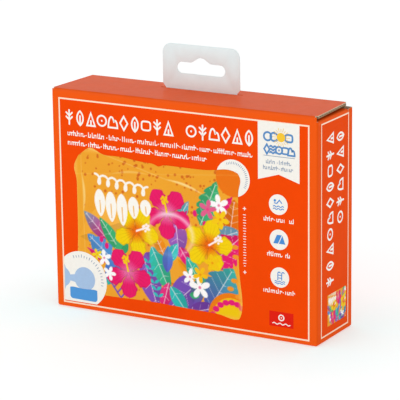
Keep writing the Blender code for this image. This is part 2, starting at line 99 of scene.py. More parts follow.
class Nodes:
    """A node tree with short calls to add and join nodes."""

    def __init__(self, data, shader="Principled BSDF"):
        data.use_nodes = True
        self.data, self.tree = data, data.node_tree
        self.shader = self.tree.nodes[shader]
        self.places = self.add("ShaderNodeTexCoord").outputs
        self.place = self.places["Object"]

    def feed(self, socket, value):
        """Joins another node's output to an input, or sets the input."""
        if isinstance(value, bpy.types.NodeSocket):
            self.tree.links.new(value, socket)
        else:
            socket.default_value = (*value, 1) if socket.type == "RGBA" else value

    def add(self, kind, **values):
        """values are the node's inputs, with _ for a space, or its own settings."""
        node = self.tree.nodes.new(kind)
        for key, value in values.items():
            if key.replace("_", " ") in node.inputs:
                self.feed(node.inputs[key.replace("_", " ")], value)
            else:
                setattr(node, key, value)
        return node

    def noise(self, scale, detail=3.0, stretch=(1, 1, 1)):
        mapping = self.add("ShaderNodeMapping", Scale=stretch, Vector=self.place)
        noise = self.add("ShaderNodeTexNoise", Scale=scale, Detail=detail, Vector=mapping.outputs["Vector"])
        return noise.outputs["Fac"]

    def math(self, operation, *values):
        node = self.add("ShaderNodeMath", operation=operation)
        for socket, value in zip(node.inputs, values):
            self.feed(socket, value)
        return node.outputs["Value"]

    def ramp(self, factor, low, high, start=0.0, end=1.0):
        """Runs from colour low at factor start to colour high at factor end."""
        node = self.add("ShaderNodeValToRGB", Fac=factor)
        first, last = node.color_ramp.elements
        first.position, last.position = start, end
        first.color, last.color = (*low, 1), (*high, 1)
        return node.outputs["Color"]

    def mix(self, factor, a, b):
        node = self.add("ShaderNodeMix", data_type="RGBA")
        for index, value in ((0, factor), (6, a), (7, b)):
            self.feed(node.inputs[index], value)
        return node.outputs[2]

    def rough(self, factor, low, high):
        node = self.add("ShaderNodeMapRange", Value=factor, To_Min=low, To_Max=high)
        self.set(Roughness=node.outputs["Result"])

    def bump(self, *layers):
        """layers are (height output, depth in metres)."""
        below = {}
        for height, depth in layers:
            node = self.add("ShaderNodeBump", Strength=1.0, Distance=depth, Height=height, **below)
            below = {"Normal": node.outputs["Normal"]}
        self.set(**below)

    def set(self, **values):
        for key, value in values.items():
            self.feed(self.shader.inputs[key.replace("_", " ")], value)
        return self.data


def material(name):
    return Nodes(bpy.data.materials.new(name))


PRINT_GLOSS = 0.02
ORANGE = linear((243, 72, 3))
# A lighter, duller orange: the print of the lid and flaps, and outside the printed frame of the front and back
# a painted highlight along the panel's border.
ORANGE_EDGE = linear((241, 90, 20))
# Painted shade: the side panels' two oranges, inside the frame and on the border, are darker copies of the
# front's.
SIDE_ORANGE_PAINTED_SHADE = linear((236, 74, 6))
SIDE_EDGE_PAINTED_LIGHT_AND_SHADE = linear((232, 84, 16))


def printed_board(name, waves, orange, edge=None, inner=None, gloss=PRINT_GLOSS):
    """Coated, printed liner: a faint washboard of flutes along an axis, paper grain and mottled gloss. inner
    is the printed frame's (axis across, half width, low, high), and edge the colour outside it, which
    paints a highlight along the panel's border."""
    m = material(name)
    colour = m.ramp(m.noise(90, 4), tuple(c * 0.965 for c in orange), orange, 0.35, 0.65)
    if inner:
        axis, half, low, high = inner
        place = m.add("ShaderNodeSeparateXYZ", Vector=m.place).outputs
        across = m.math("LESS_THAN", m.math("ABSOLUTE", place[axis]), half)
        above, below = m.math("GREATER_THAN", place["Z"], low), m.math("LESS_THAN", place["Z"], high)
        inside = m.math("MULTIPLY", across, m.math("MULTIPLY", above, below))
        # Painted highlight: outside the frame the border takes the lighter, duller edge colour.
        colour = m.mix(inside, edge, colour)
    m.rough(m.noise(350, 2), 0.34, 0.44)
    bands = m.add("ShaderNodeTexWave", wave_type="BANDS", bands_direction=waves, wave_profile="SIN")
    m.feed(bands.inputs["Vector"], m.place)
    m.feed(bands.inputs["Scale"], math.pi / (10 * FLUTE_PITCH))
    m.feed(bands.inputs["Distortion"], 0.6)
    m.bump((bands.outputs["Fac"], 0.000018), (m.noise(28, 2), 0.00035), (m.noise(2600, 2), 0.000004))
    return m.set(Base_Color=colour, Specular_IOR_Level=gloss)


def kraft(name, low, high, fibre=900):
    m = material(name)
    m.bump((m.noise(fibre, 4, (1, 1, 5)), 0.00005))
    colour = m.ramp(m.noise(fibre, 5, (1, 1, 6)), linear(low), linear(high), 0.3, 0.7)
    return m.set(Base_Color=colour, Roughness=0.85, Specular_IOR_Level=0.15)


def ink(name, rgb):
    m = material(name)
    base = linear(rgb)
    m.bump((m.noise(2600, 2), 0.000003))
    colour = m.ramp(m.noise(500, 2), tuple(c * 0.97 for c in base), base, 0.35, 0.65)
    return m.set(Base_Color=colour, Roughness=0.4, Specular_IOR_Level=PRINT_GLOSS)


def pictured(name, roughness=0.38, gloss=0.03):
    """Print whose colour is stored on the mesh's points."""
    m = material(name)
    stored = m.add("ShaderNodeVertexColor", layer_name="print").outputs["Color"]
    m.bump((m.noise(420, 3), 0.00002))
    colour = m.mix(m.math("MULTIPLY", m.noise(1500, 2), 0.04), stored, (0.5, 0.25, 0.1))
    return m.set(Base_Color=colour, Roughness=roughness, Specular_IOR_Level=gloss)


def flocked(name):
    m = material(name)
    base = linear((226, 112, 34))
    m.bump((m.noise(3200, 4), 0.00012), (m.noise(120, 3), 0.0003))
    m.set(Base_Color=m.ramp(m.noise(1800, 5), tuple(c * 0.6 for c in base), base, 0.25, 0.75))
    return m.set(Roughness=0.95, Specular_IOR_Level=0.1, Sheen_Weight=0.4, Sheen_Roughness=0.5)


def plastic(name, rgb, roughness, transmission=0.0, grain=0.00002, **more):
    m = material(name)
    base = linear(rgb)
    m.rough(m.noise(600, 2), roughness - 0.05, roughness + 0.05)
    m.bump((m.noise(900, 3), grain))
    m.set(Base_Color=m.ramp(m.noise(160, 3), tuple(c * 0.96 for c in base), base, 0.3, 0.7))
    return m.set(Transmission_Weight=transmission, IOR=1.49, **more)


FRAME_INSET = 0.0050
FRAME_LOW, FRAME_HIGH = 0.0030, HEIGHT - 0.0056
FRONT_FRAME = ("X", SIDE - FRAME_INSET, FRAME_LOW, FRAME_HIGH)
SIDE_FRAME = ("Y", REAR - FRAME_INSET, FRAME_LOW, FRAME_HIGH)
PRINT_FRONT = printed_board("print_front", "Z", ORANGE, ORANGE_EDGE, FRONT_FRAME)
# Painted shade: the side panels' print takes the darker oranges.
PRINT_SIDE_PAINTED_SHADE = printed_board("print_side", "Z", SIDE_ORANGE_PAINTED_SHADE, SIDE_EDGE_PAINTED_LIGHT_AND_SHADE, SIDE_FRAME, 0.01)
PRINT_Y = printed_board("print_lid", "Y", ORANGE_EDGE, gloss=0.055)
PRINT_X = printed_board("print_flap", "X", ORANGE_EDGE)
RAW = kraft("raw_board", (196, 170, 142), (232, 210, 182), 1600)
INSIDE = kraft("inside_board", (150, 116, 82), (184, 150, 112))
FLUTE = kraft("flute_paper", (176, 148, 118), (216, 190, 158), 1400)


# ---- Mesh helpers ----


def link(name, data):
    thing = bpy.data.objects.new(name, data)
    bpy.context.scene.collection.objects.link(thing)
    return thing


def closed_mesh(name, bm):
    """A closed bmesh's mesh, with faces of more than four sides cut into triangles and normals out."""
    caps = [face for face in bm.faces if len(face.verts) > 4]
    for cap in caps:
        cap.normal_update()
    bmesh.ops.triangulate(bm, faces=caps)
    bmesh.ops.recalc_face_normals(bm, faces=bm.faces)
    mesh = bpy.data.meshes.new(name)
    bm.to_mesh(mesh)
    bm.free()
    return mesh


def applied(thing):
    """The thing's mesh with its modifiers applied."""
    bpy.context.view_layer.update()
    return bpy.data.meshes.new_from_object(thing.evaluated_get(bpy.context.evaluated_depsgraph_get()))


def add_mesh(name, bm, materials, body, smooth=None, nodes=()):
    """Makes a bmesh a piece, with its materials, the body it rides on and the CAD nodes it stands for."""
    thing = link(name, closed_mesh(name, bm))
    for material in materials if isinstance(materials, list) else [materials]:
        thing.data.materials.append(material)
    if smooth is not None:
        thing.data.shade_smooth()
        thing.data.set_sharp_from_angle(angle=math.radians(smooth))
    if body:
        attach(thing, body)
    if nodes:
        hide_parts(*nodes)
    return thing


def prism(bm, outline, to_world, low, high, side_index=0):
    """A closed prism of an outline: to_world(a, b, d) places a point at depth d."""
    bottom = [bm.verts.new(to_world(a, b, low)) for a, b in outline]
    top = [bm.verts.new(to_world(a, b, high)) for a, b in outline]
    caps = [bm.faces.new(bottom), bm.faces.new(top[::-1])]
    count = len(outline)
    for i in range(count):
        j = (i + 1) % count
        bm.faces.new((bottom[i], top[i], top[j], bottom[j])).material_index = side_index
    caps[1].material_index = side_index


def grid_shell(bm, outer, inner, inner_index=1):
    """A closed shell between two equal grids of points."""
    rows, columns = len(outer), len(outer[0])
    skins = [[[bm.verts.new(p) for p in row] for row in skin] for skin in (outer, inner)]
    for skin, use in zip(skins, (0, inner_index)):
        for i in range(rows - 1):
            for j in range(columns - 1):
                face = bm.faces.new((skin[i][j], skin[i + 1][j], skin[i + 1][j + 1], skin[i][j + 1]))
                face.material_index = use
    rim = [(i, 0) for i in range(rows)] + [(rows - 1, j) for j in range(1, columns)]
    rim += [(i, columns - 1) for i in range(rows - 2, -1, -1)] + [(0, j) for j in range(columns - 2, 0, -1)]
    for (i, j), (k, m) in zip(rim, rim[1:] + rim[:1]):
        face = bm.faces.new((skins[0][i][j], skins[0][k][m], skins[1][k][m], skins[1][i][j]))
        face.material_index = inner_index


def arc(centre, radius, start, end, steps=8):
    turns = [math.radians(start + (end - start) * i / steps) for i in range(steps + 1)]
    return [(centre[0] + radius * math.cos(turn), centre[1] + radius * math.sin(turn)) for turn in turns]


def rectangle(low_a, high_a, low_b, high_b):
    return [(low_a, low_b), (high_a, low_b), (high_a, high_b), (low_a, high_b)]


class Face:
    """A flat face: origin, the directions across and along it, and inward, which points into the board."""

    def __init__(self, origin, across, along, inward):
        self.origin, self.across = Vector(origin), Vector(across)
        self.along, self.inward = Vector(along), Vector(inward)

    def __call__(self, a, b, depth=0.0):
        return self.origin + self.across * a + self.along * b + self.inward * depth


# ---- Board ----


def span_at(outline, b):
    """Lowest and highest a of a convex outline along the line at b."""
    hits = []
    for (a0, b0), (a1, b1) in zip(outline, outline[1:] + outline[:1]):
        if (b0 - b) * (b1 - b) <= 0 and abs(b1 - b0) > 1e-9:
            hits.append(a0 + (a1 - a0) * (b - b0) / (b1 - b0))
    return min(hits), max(hits)


def flutes(name, face, outline, body, reach=None):
    """The waved paper between the liners, its flutes along the face's across direction."""
    low = min(b for _, b in outline) + SLIP / 2
    high = (reach if reach is not None else max(b for _, b in outline)) - SLIP / 2
    count = max(6, round((high - low) / FLUTE_PITCH * FLUTE_STEPS))
    swing = (BOARD - 2 * LINER - MEDIUM) / 2 - SLIP / 4
    skins = ([], [])
    for i in range(count + 1):
        b = low + (high - low) * i / count
        start, end = span_at(outline, b)
        depth = BOARD / 2 + swing * math.sin(2 * math.pi * b / FLUTE_PITCH)
        for skin, offset in zip(skins, (-MEDIUM / 2, MEDIUM / 2)):
            skin.append([face(a, b, depth + offset) for a in (start + SLIP, end - SLIP)])
    bm = bmesh.new()
    grid_shell(bm, *skins, 0)
    return add_mesh(name, bm, FLUTE, body, smooth=60)


def flat_board(node, face, outline, body, printed, flute_reach=None):
    """A flat panel as printed liner, flutes and inner liner. The printed liner stands for the CAD node."""
    bm = bmesh.new()
    prism(bm, outline, face, 0, LINER, 1)
    outer = add_mesh(node + "_printed_liner", bm, [printed, RAW], body, nodes=(node,))
    waves = flutes(node + "_flutes", face, outline, body, flute_reach)
    bm = bmesh.new()
    prism(bm, outline, face, BOARD - LINER, BOARD)
    back = add_mesh(node + "_inner_liner", bm, INSIDE, body)
    return outer, waves, back


def wall(node, start, end, rounded_end, tops, printed, inner_span):
    """An upright wall's printed liner, with the rounded bottom crease and half of each rounded corner, and
    behind it the flutes and the inner liner. tops lists (distance from, distance to, top) along the wall."""
    start, end = Vector(start), Vector(end)
    along = (end - start).normalized()
    normal = Vector((along.y, -along.x))
    length = (end - start).length
    radius, steps, corner = CREASE_RADIUS, 8, 45
    stations = []

    def station(distance, degrees, top, thickness):
        turn = math.radians(degrees)
        lean = normal * math.cos(turn) + along * math.sin(turn)
        stations.append((start + along * distance - normal * radius, lean, top, thickness))

    def column(centre, lean, top, inset):
        r = radius - inset
        points = []
        for i in range(steps + 1):
            turn = math.radians(88 * (1 - i / steps))
            flat = centre + lean * (r * math.cos(turn))
            points.append(Vector((flat.x, flat.y, radius - r * math.sin(turn))))
        flat = centre + lean * r
        return points + [Vector((flat.x, flat.y, z)) for z in (radius + 0.0006, top - 0.0004, top)]

    for i in range(steps):
        station(radius, -corner + corner * i / steps, tops[0][2], CORNER_BOARD)
    last = length - radius if rounded_end else length
    for low, high, top in tops:
        station(max(low, radius) + SLIP, 0, top, LINER)
        station(min(high, last) - SLIP, 0, top, LINER)
    if rounded_end:
        for i in range(1, steps + 1):
            station(last, corner * i / steps, tops[-1][2], CORNER_BOARD)
    bm = bmesh.new()
    outer = [column(centre, lean, top, 0) for centre, lean, top, _ in stations]
    inner = [column(*station) for station in stations]
    grid_shell(bm, outer, inner)
    name = node + "_printed_liner"
    add_mesh(name, bm, [printed, RAW], "carton", smooth=30, nodes=(node,))
    face = Face((start.x, start.y, 0), (along.x, along.y, 0), (0, 0, 1), (-normal.x, -normal.y, 0))
    top = max(tops, key=lambda stretch: stretch[1] - stretch[0])[2]
    flutes(node + "_flutes", face, rectangle(*inner_span, radius, top), "carton")
    bm = bmesh.new()
    prism(bm, rectangle(*inner_span, BOARD, top), face, BOARD - LINER, BOARD)
    add_mesh(node + "_inner_liner", bm, INSIDE, "carton")


def crease(name, corner, before, after, axis, span, printed):
    """The crushed, rounded fold between faces with outward normals before and after, over span along axis."""
    corner, before, after, axis = (Vector(v) for v in (corner, before, after, axis))
    opening = math.acos(max(-1, min(1, before.dot(after))))
    centre = corner - (before + after) * (CREASE_RADIUS / (1 + before.dot(after)))
    side = axis.cross(before)
    if side.dot(after) < 0:
        side = -side
    away = -before * math.sin(opening) + side * math.cos(opening)
    steps = 14
    outer, inner = [], []

    def add(normal, past=0.0, direction=side):
        point = centre + normal * CREASE_RADIUS + direction * past
        for rail, inset in ((outer, 0.0), (inner, CREASE_BOARD)):
            rail.append([point - normal * inset + axis * w for w in span])

    add(before, -CREASE_FLAT)
    add(before, -CREASE_FLAT / 2)
    for i in range(steps + 1):
        turn = opening * i / steps
        add(before * math.cos(turn) + side * math.sin(turn))
    add(after, CREASE_FLAT / 2, away)
    add(after, CREASE_FLAT, away)
    bm = bmesh.new()
    grid_shell(bm, outer, inner)
    thing = add_mesh(name, bm, [printed, RAW], None, smooth=30)
    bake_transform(thing)


def cut_slot(things):
    """Cuts the hang tab's slot through the lid's layers."""
    half, side = TAB_WIDTH / 2 + 0.0018, 0.0006
    bm = bmesh.new()
    face = Face((TAB_OFFSET, TAB_Y, HEIGHT + 0.001), (1, 0, 0), (0, 1, 0), (0, 0, -1))
    ends = arc((half - side, 0), side, -90, 90, 6) + arc((-half + side, 0), side, 90, 270, 6)
    prism(bm, ends, face, 0, 2 * BOARD)
    cutter = link("slot_cutter", closed_mesh("slot_cutter", bm))
    for thing in things:
        cut = thing.modifiers.new("slot", "BOOLEAN")
        cut.operation, cut.solver, cut.object = "DIFFERENCE", "EXACT", cutter
        made = applied(thing)
        thing.modifiers.clear()
        thing.data = made
    bpy.data.objects.remove(cutter)


def build_carton():
    width, depth, left = 2 * SIDE, REAR - FRONT, SEAM_Y - FRONT
    flap_low, flap_high = (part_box("top_dust_flap_right")[i][1] for i in (0, 1))
    corner, in_board = CREASE_RADIUS + 0.0002, BOARD + 0.0002

    def side_tops(low, high, length):
        return [(0, low, SIDE_HEIGHT), (low, high, SIDE_HEIGHT - FOLD), (high, length, SIDE_HEIGHT)]

    raw_top = HEIGHT - 0.0004
    tops = [(0, corner, raw_top), (corner, width - corner, HEIGHT - FOLD), (width - corner, width, raw_top)]
    span = (in_board, width - in_board)
    wall("front_panel", (-SIDE, FRONT), (SIDE, FRONT), True, tops, PRINT_FRONT, span)
    tops = side_tops(flap_low - FRONT, flap_high - FRONT, depth)
    wall("right_panel", (SIDE, FRONT), (SIDE, REAR), True, tops, PRINT_SIDE_PAINTED_SHADE, (in_board, depth - in_board))
    tops = [(0, BACK_NOTCH, SIDE_HEIGHT), (BACK_NOTCH, width, HEIGHT - BACK_DROP)]
    wall("back_panel", (SIDE, REAR), (-SIDE, REAR), False, tops, PRINT_FRONT, (BACK_NOTCH, width))
    tops = side_tops(SEAM_Y - flap_high, SEAM_Y - flap_low, left)
    wall("left_panel", (-SIDE, SEAM_Y), (-SIDE, FRONT), True, tops, PRINT_SIDE_PAINTED_SHADE, (in_board, left - in_board))
    build_glue_flap()
    build_bottom()
    build_lid()
    build_dust_flaps(flap_low, flap_high)


def build_glue_flap():
    low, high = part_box("glue_flap")
    taper = 0.004
    start = -SIDE + CREASE_RADIUS
    outline = [(start, low[2]), (high[0], low[2] + taper), (high[0], high[2] - taper), (start, high[2])]
    face = Face((0, SEAM_Y, 0), (1, 0, 0), (0, 0, 1), (0, -1, 0))
    flat_board("glue_flap", face, outline, "carton", RAW)


def build_bottom():
    """Four flaps in one plane, meeting as an auto-lock bottom does."""
    half = (REAR - FRONT) / 2
    reach = half - GAP / 2
    middle = SIDE - half
    step, third = 0.006, middle / 3
    start, mitre = CREASE_RADIUS, GAP * 0.75
    seam = [(-middle + third, 0.0), (-middle + third + GAP / 2, step), (-third / 2, step)]
    seam += [(third / 2, -step), (middle - third, -step), (middle - third + GAP / 2, 0.0)]
    for name, sign in (("bottom_front_flap", 1), ("bottom_back_flap", -1)):
        line = [(x - sign * GAP / 4, reach + sign * y) for x, y in seam]
        outline = [(-SIDE + start + mitre, start), (SIDE - start - mitre, start)]
        outline += [(middle - mitre, reach)] + line[::-1] + [(-middle + mitre, reach)]
        face = Face((0, sign * FRONT, 0), (1, 0, 0), (0, sign, 0), (0, 0, 1))
        flat_board(name, face, outline, "carton", PRINT_Y, flute_reach=reach - step - 0.001)
    for name, sign in (("bottom_right_flap", 1), ("bottom_left_flap", -1)):
        rear = REAR if sign > 0 else SEAM_Y
        tip = half - 2 * mitre
        outline = [(FRONT + start + mitre, start), (rear - start - mitre, start), (mitre, tip), (-mitre, tip)]
        face = Face((sign * SIDE, 0, 0), (0, 1, 0), (-sign, 0, 0), (0, 0, 1))
        flat_board(name, face, outline, "carton", PRINT_X)


def build_lid():
    reach = SEAM_Y - FRONT
    tuck_fold = CREASE_RADIUS * math.tan(math.radians(45) + TUCK_LEAN / 2)
    finish = reach - tuck_fold - CREASE_FLAT
    near, far = (SIDE - GAP - LID_TAPER * b / reach for b in (FOLD, finish))
    outline = [(-near, FOLD), (near, FOLD), (far, finish), (-far, finish)]
    face = Face((0, FRONT, HEIGHT), (1, 0, 0), (0, 1, 0), (0, 0, -1))
    layers = flat_board("lid_panel", face, outline, "lid", PRINT_Y)
    cut_slot(layers)
    front, up, along = (0, -1, 0), (0, 0, 1), (1, 0, 0)
    span = (CREASE_RADIUS + GAP - SIDE, SIDE - CREASE_RADIUS - GAP)
    crease("lid_crease", (0, FRONT, HEIGHT), front, up, along, span, PRINT_Y)
    down, back = math.cos(TUCK_LEAN), math.sin(TUCK_LEAN)
    edge = SIDE - TUCK_INSET
    crease("tuck_crease", (0, SEAM_Y, HEIGHT), up, (0, down, -back), along, (-edge, edge), PRINT_Y)
    start, r = tuck_fold + CREASE_FLAT, TUCK_CORNER
    outline = [(-edge, start), (edge, start)] + arc((edge - r, TUCK_LENGTH - r), r, 0, 90, 10)
    outline += arc((-edge + r, TUCK_LENGTH - r), r, 90, 180, 10)
    face = Face((0, SEAM_Y, HEIGHT), along, (0, -back, -down), (0, -down, back))
    flat_board("lid_tuck_flap", face, outline, "tuck_flap", PRINT_Y)


def build_dust_flaps(low, high):
    """low and high are the ends of the flap's crease."""
    tip, front_slope, rear_slope = 0.036, 0.50, 0.12
    slant, rise = (low + (reach - 0.002) * front_slope for reach in (tip, FOLD))
    rear = high - rear_slope * tip
    outline = [(rise, FOLD), (high - rear_slope * FOLD, FOLD), (rear, tip - 0.006), (rear - 0.004, tip)]
    outline += [(slant + 0.003, tip), (slant - 0.001, tip - 0.003)]
    span = (low, high - 0.0004)
    for side, sign in (("right", 1), ("left", -1)):
        corner, flap = (sign * SIDE, 0, SIDE_HEIGHT), "dust_flap_" + side
        face = Face(corner, (0, 1, 0), (-sign, 0, 0), (0, 0, -1))
        flat_board("top_" + flap, face, outline, flap, PRINT_X)
        out, up, along = (sign, 0, 0), (0, 0, 1), (0, 1, 0)
        crease("dust_crease_" + side, corner, out, up, along, span, PRINT_X)


# ---- Printed line art ----

FACES = {
    "front": Face((0, FRONT, 0), (1, 0, 0), (0, 0, 1), (0, 1, 0)),
    "right": Face((SIDE, 0, 0), (0, 1, 0), (0, 0, 1), (-1, 0, 0)),
    "back": Face((0, REAR, 0), (-1, 0, 0), (0, 0, 1), (0, -1, 0)),
    "left": Face((-SIDE, 0, 0), (0, -1, 0), (0, 0, 1), (1, 0, 0)),
}
INK_STEP = 0.000012  # between the levels of ink
INK_HAIR = 0.0000002  # between the shapes of one level
INK_FILL = 0.7  # share of a level that a film fills
INKS = {
    "white": (250, 246, 240),
    "cream": (255, 226, 200),
    "banner": (246, 242, 234),
    "blue": (76, 142, 212),
    "steel": (92, 142, 196),
    "pale_blue": (168, 194, 226),
    "sky": (84, 152, 216),
    "yellow": (248, 200, 60),
    "grey": (150, 165, 185),
    "red": (226, 34, 20),
}
INK_MATERIALS = {name: ink("ink_" + name, rgb) for name, rgb in INKS.items()}


# The front title's symbols, of which the sides repeat each half; None is a space.
TITLE = (6, 3, 1, 0, 5, 7, 3, 4, 6, 1, None, 0, 6, 5, 7, 1, 3)


class Ink:
    """One ink's shapes on a face, in millimetres, as closed films. level lifts it over the films below."""

    def __init__(self, face, name, level=1):
        self.face, self.name, self.level = face, name, level
        self.plane = FACES[face]
        self.bm = bmesh.new()
        self.count = 0

    def depths(self):
        """The next film's two depths: each stands a hair above the last, so that films share no plane."""
        low = -(self.level + 0.5) * INK_STEP - INK_HAIR * (self.count % 20)
        self.count += 1
        return low, low - INK_STEP * INK_FILL

    def shape(self, points):
        prism(self.bm, [(a * MM, b * MM) for a, b in points], self.plane, *self.depths())

    def disc(self, a, b, radius, steps=48):
        self.shape(arc((a, b), radius, 0, 360 - 360 / steps, steps - 1))

    def ring(self, a, b, radius, width):
        self.stroke(arc((a, b), radius, 0, 352.5, 47), width, closed=True)

    def stroke(self, points, width, closed=False):
        """A line of even width through points, with round ends unless it is closed."""
        p = np.array(points, float)
        half = width / 2
        ahead = np.roll(p, -1, 0) - p
        if not closed:
            ahead[-1] = ahead[-2]
        ahead /= np.linalg.norm(ahead, axis=1, keepdims=True)
        back = np.roll(ahead, 1, 0)
        if not closed:
            back[0] = ahead[0]
        side, normal = (np.stack([-v[:, 1], v[:, 0]], 1) for v in (ahead + back, ahead))
        side /= np.linalg.norm(side, axis=1, keepdims=True)
        stretch = np.clip(1 / np.maximum(0.45, (side * normal).sum(1)), 1, 2.2)[:, None]
        left, right = p + side * half * stretch, p - side * half * stretch
        if closed:
            self.band(left, right)
            return
        start, end = (math.degrees(math.atan2(y, x)) for x, y in (ahead[0], ahead[-1]))
        outline = [tuple(v) for v in right[1:-1]] + arc(p[-1], half, end - 90, end + 90, 6)
        outline += [tuple(v) for v in left[1:-1]][::-1] + arc(p[0], half, start + 90, start + 270, 6)
        self.shape(outline)

    def band(self, left, right):
        """A closed ring between two loops."""
        near, far = self.depths()
        loops = ((left, near), (right, near), (right, far), (left, far))
        rails = []
        for loop, depth in loops:
            rails.append([self.bm.verts.new(self.plane(a * MM, b * MM, depth)) for a, b in loop])
        for one, two in zip(rails, rails[1:] + rails[:1]):
            for i in range(len(left)):
                j = (i + 1) % len(left)
                self.bm.faces.new((one[i], one[j], two[j], two[i]))

    def build(self, tag=""):
        name = f"{self.face}_print_{self.name}{tag}"
        add_mesh(name, self.bm, INK_MATERIALS[self.name], "carton")


def wave_line(a0, a1, b, height, waves):
    count = int(waves * 10)
    shares = [i / count for i in range(count + 1)]
    return [(a0 + (a1 - a0) * share, b + height * math.sin(2 * math.pi * waves * share)) for share in shares]


def symbols(draw, a, b, size, kind, width):
    """One of eight plain line symbols: sun, tent, waves, leaf, pillow, hills, sprig and diamond."""
    s = size / 2

    def lines(points, closed=False):
        draw([(a + x * s, b + y * s) for x, y in points], width, closed)

    if kind == 0:
        lines(arc((0, 0), 0.72, 0, 350, 35), True)
        lines([(0, -0.03), (0, 0.03)])
    elif kind == 1:
        lines([(-0.66, -0.9), (0, 0.9), (0.66, -0.9)], True)
        lines([(0, -0.9), (0, -0.2)])
    elif kind == 2:
        for lift in (-0.6, 0.0, 0.6):
            lines(wave_line(-0.66, 0.66, lift, 0.14, 1.5))
    elif kind == 3:
        lines(arc((-0.75, 0), 1.25, -53, 53, 12) + arc((0.75, 0), 1.25, 127, 233, 12)[1:-1], True)
        lines([(0, -0.9), (0, 0.3)])
    elif kind == 4:
        bag = []
        for i in range(36):
            t = 2 * math.pi * i / 36
            x, y = math.cos(t), math.sin(t)
            bag.append((0.7 * math.copysign(abs(x) ** 0.5, x), 0.62 * math.copysign(abs(y) ** 0.5, y)))
        lines(bag, True)
    elif kind == 5:
        humps = arc((-0.22, 0), 0.5, 180, 35, 10) + arc((0.4, 0), 0.34, 120, 0, 8)
        lines([(x, y * 3.0 - 0.8) for x, y in humps], True)
    elif kind == 6:
        lines([(0, -1), (0, 1)])
        for lift in (-0.4, 0.2):
            lines([(-0.48, lift + 0.45), (0, lift), (0.48, lift + 0.45)])
    else:
        lines([(-0.6, 0), (0, 0.95), (0.6, 0), (0, -0.95)], True)


def greeked(film, a0, a1, b, height, seed):
    """Small upright marks in word-like groups, some joined above or below, in place of a line of lettering."""
    draws = np.random.default_rng(seed)
    line = height * 0.17
    low, middle, high = b - height * 0.36, b + height * 0.20, b + height * 0.52
    pitch = height * 0.42
    bow = pitch / 2
    a = a0
    while a < a1 - pitch:
        for _ in range(int(draws.integers(5, 11))):
            if a > a1:
                break
            top = high if draws.uniform() < 0.24 else middle
            film.stroke([(a, low), (a, top)], line)
            join = draws.uniform()
            if join < 0.45:
                film.stroke(arc((a + bow, middle - bow), bow, 180, 0, 4), line)
            elif join < 0.78:
                film.stroke(arc((a + bow, low + bow), bow, 180, 360, 4), line)
            a += pitch
        if a < a1 - pitch * 5:
            film.disc(a + pitch * 0.75, (low + middle) / 2, line * 0.7, 8)
        a += pitch * 2.0


def symbol_row(film, a0, a1, b, size, width, order, upright=False):
    """Symbols evenly spaced from a0 to a1; None leaves a space."""
    for i, kind in enumerate(order):
        if kind is None:
            continue
        share = (i + 0.5) / len(order)
        at = a0 + (a1 - a0) * share
        if upright:

            def turned(points, line, closed):
                film.stroke([(b - y, x) for x, y in points], line, closed)

            symbols(turned, at, 0, size, kind, width)
        else:
            symbols(film.stroke, at, b, size, kind, width)


def framed_title(face, half, low, high, width, rows):
    """The printed frame line, and the white film with the title's rows of symbols, left open for more shapes.
    rows are symbol_row's values."""
    line = Ink(face, "cream")
    line.stroke([(-half, low), (half, low), (half, high), (-half, high)], width, closed=True)
    line.build()
    title = Ink(face, "white")
    for row in rows:
        symbol_row(title, *row)
    return title


def rays(film, centre, radius, lengths, degrees, width):
    """Short strokes away from a centre, one for each length and direction."""
    for length, degree in zip(lengths, degrees):
        across, up = math.cos(math.radians(degree)), math.sin(math.radians(degree))
        film.stroke([(centre[0] + r * across, centre[1] + r * up) for r in (radius, radius + length)], width)


BROAD_TITLE = (80, 3.0, 124.4, 0.9, [(-77, 47, 113.9, 8.2, 1.0, TITLE)])
BADGE, BADGE_RADIUS = (-67.6, 17.8), 17.0
DISC, DISC_RADIUS = (33.0, 90.0), 10.7
ICONS, ICON_RADIUS = ((61.3, 78.4), (61.7, 58.5), (62.1, 36.9)), 5.8
SUN = (63.1, 116.3)


def print_front():
    title = framed_title("front", *BROAD_TITLE)
    greeked(title, -74.5, 44, 104.4, 3.0, 5)
    greeked(title, -74.5, 16, 98.9, 3.0, 8)
    for low, reach, seed in ((69.6, 9.3, 11), (49.8, 7.2, 12), (28.6, 9.6, 13)):
        greeked(title, 61.7 - reach, 61.7 + reach, low, 2.7, seed)
    # A fine upright row of marks beside the picture, with a small cross at each end.
    across, pitch, weight = 40.2, 1.55, 0.42
    for i in range(20):
        reach = 0.75 if i % 3 else 0.45
        at = 40.6 + i * pitch
        title.stroke([(across - reach, at), (across + reach, at)], weight)
    for z in (37.0, 73.6):
        title.stroke([(across - 0.8, z), (across + 0.8, z)], 0.5)
        title.stroke([(across, z - 0.8), (across, z + 0.8)], 0.5)
    title.build()
    discs = Ink("front", "banner")
    for centre in ICONS:
        discs.disc(*centre, ICON_RADIUS)
    discs.shape([(48.8, 124.4), (48.8, 91.5), (61.6, 95.4), (74.4, 91.5), (74.4, 124.4)])
    discs.disc(*DISC, DISC_RADIUS)
    discs.build()
    badge = Ink("front", "banner", 6)
    edge, low = -79.5, 4.0
    round_part = arc(BADGE, BADGE_RADIUS, -54.3, 134.6, 60)
    badge.shape([(edge, low)] + [(x, max(z, low)) for x, z in round_part])
    badge.build("_badge")
    print_banner()
    print_icons()
    print_corner_badge()
    stamp = Ink("front", "red", 2)
    stamp.shape(rectangle(55.5, 70.5, 8.4, 17.0))
    stamp.build()
    mark = Ink("front", "white", 4)
    symbols(mark.stroke, 63.0, 13.7, 4.4, 0, 0.7)
    mark.stroke(wave_line(57.6, 68.4, 10.1, 0.4, 3), 0.55)
    mark.build("_stamp")


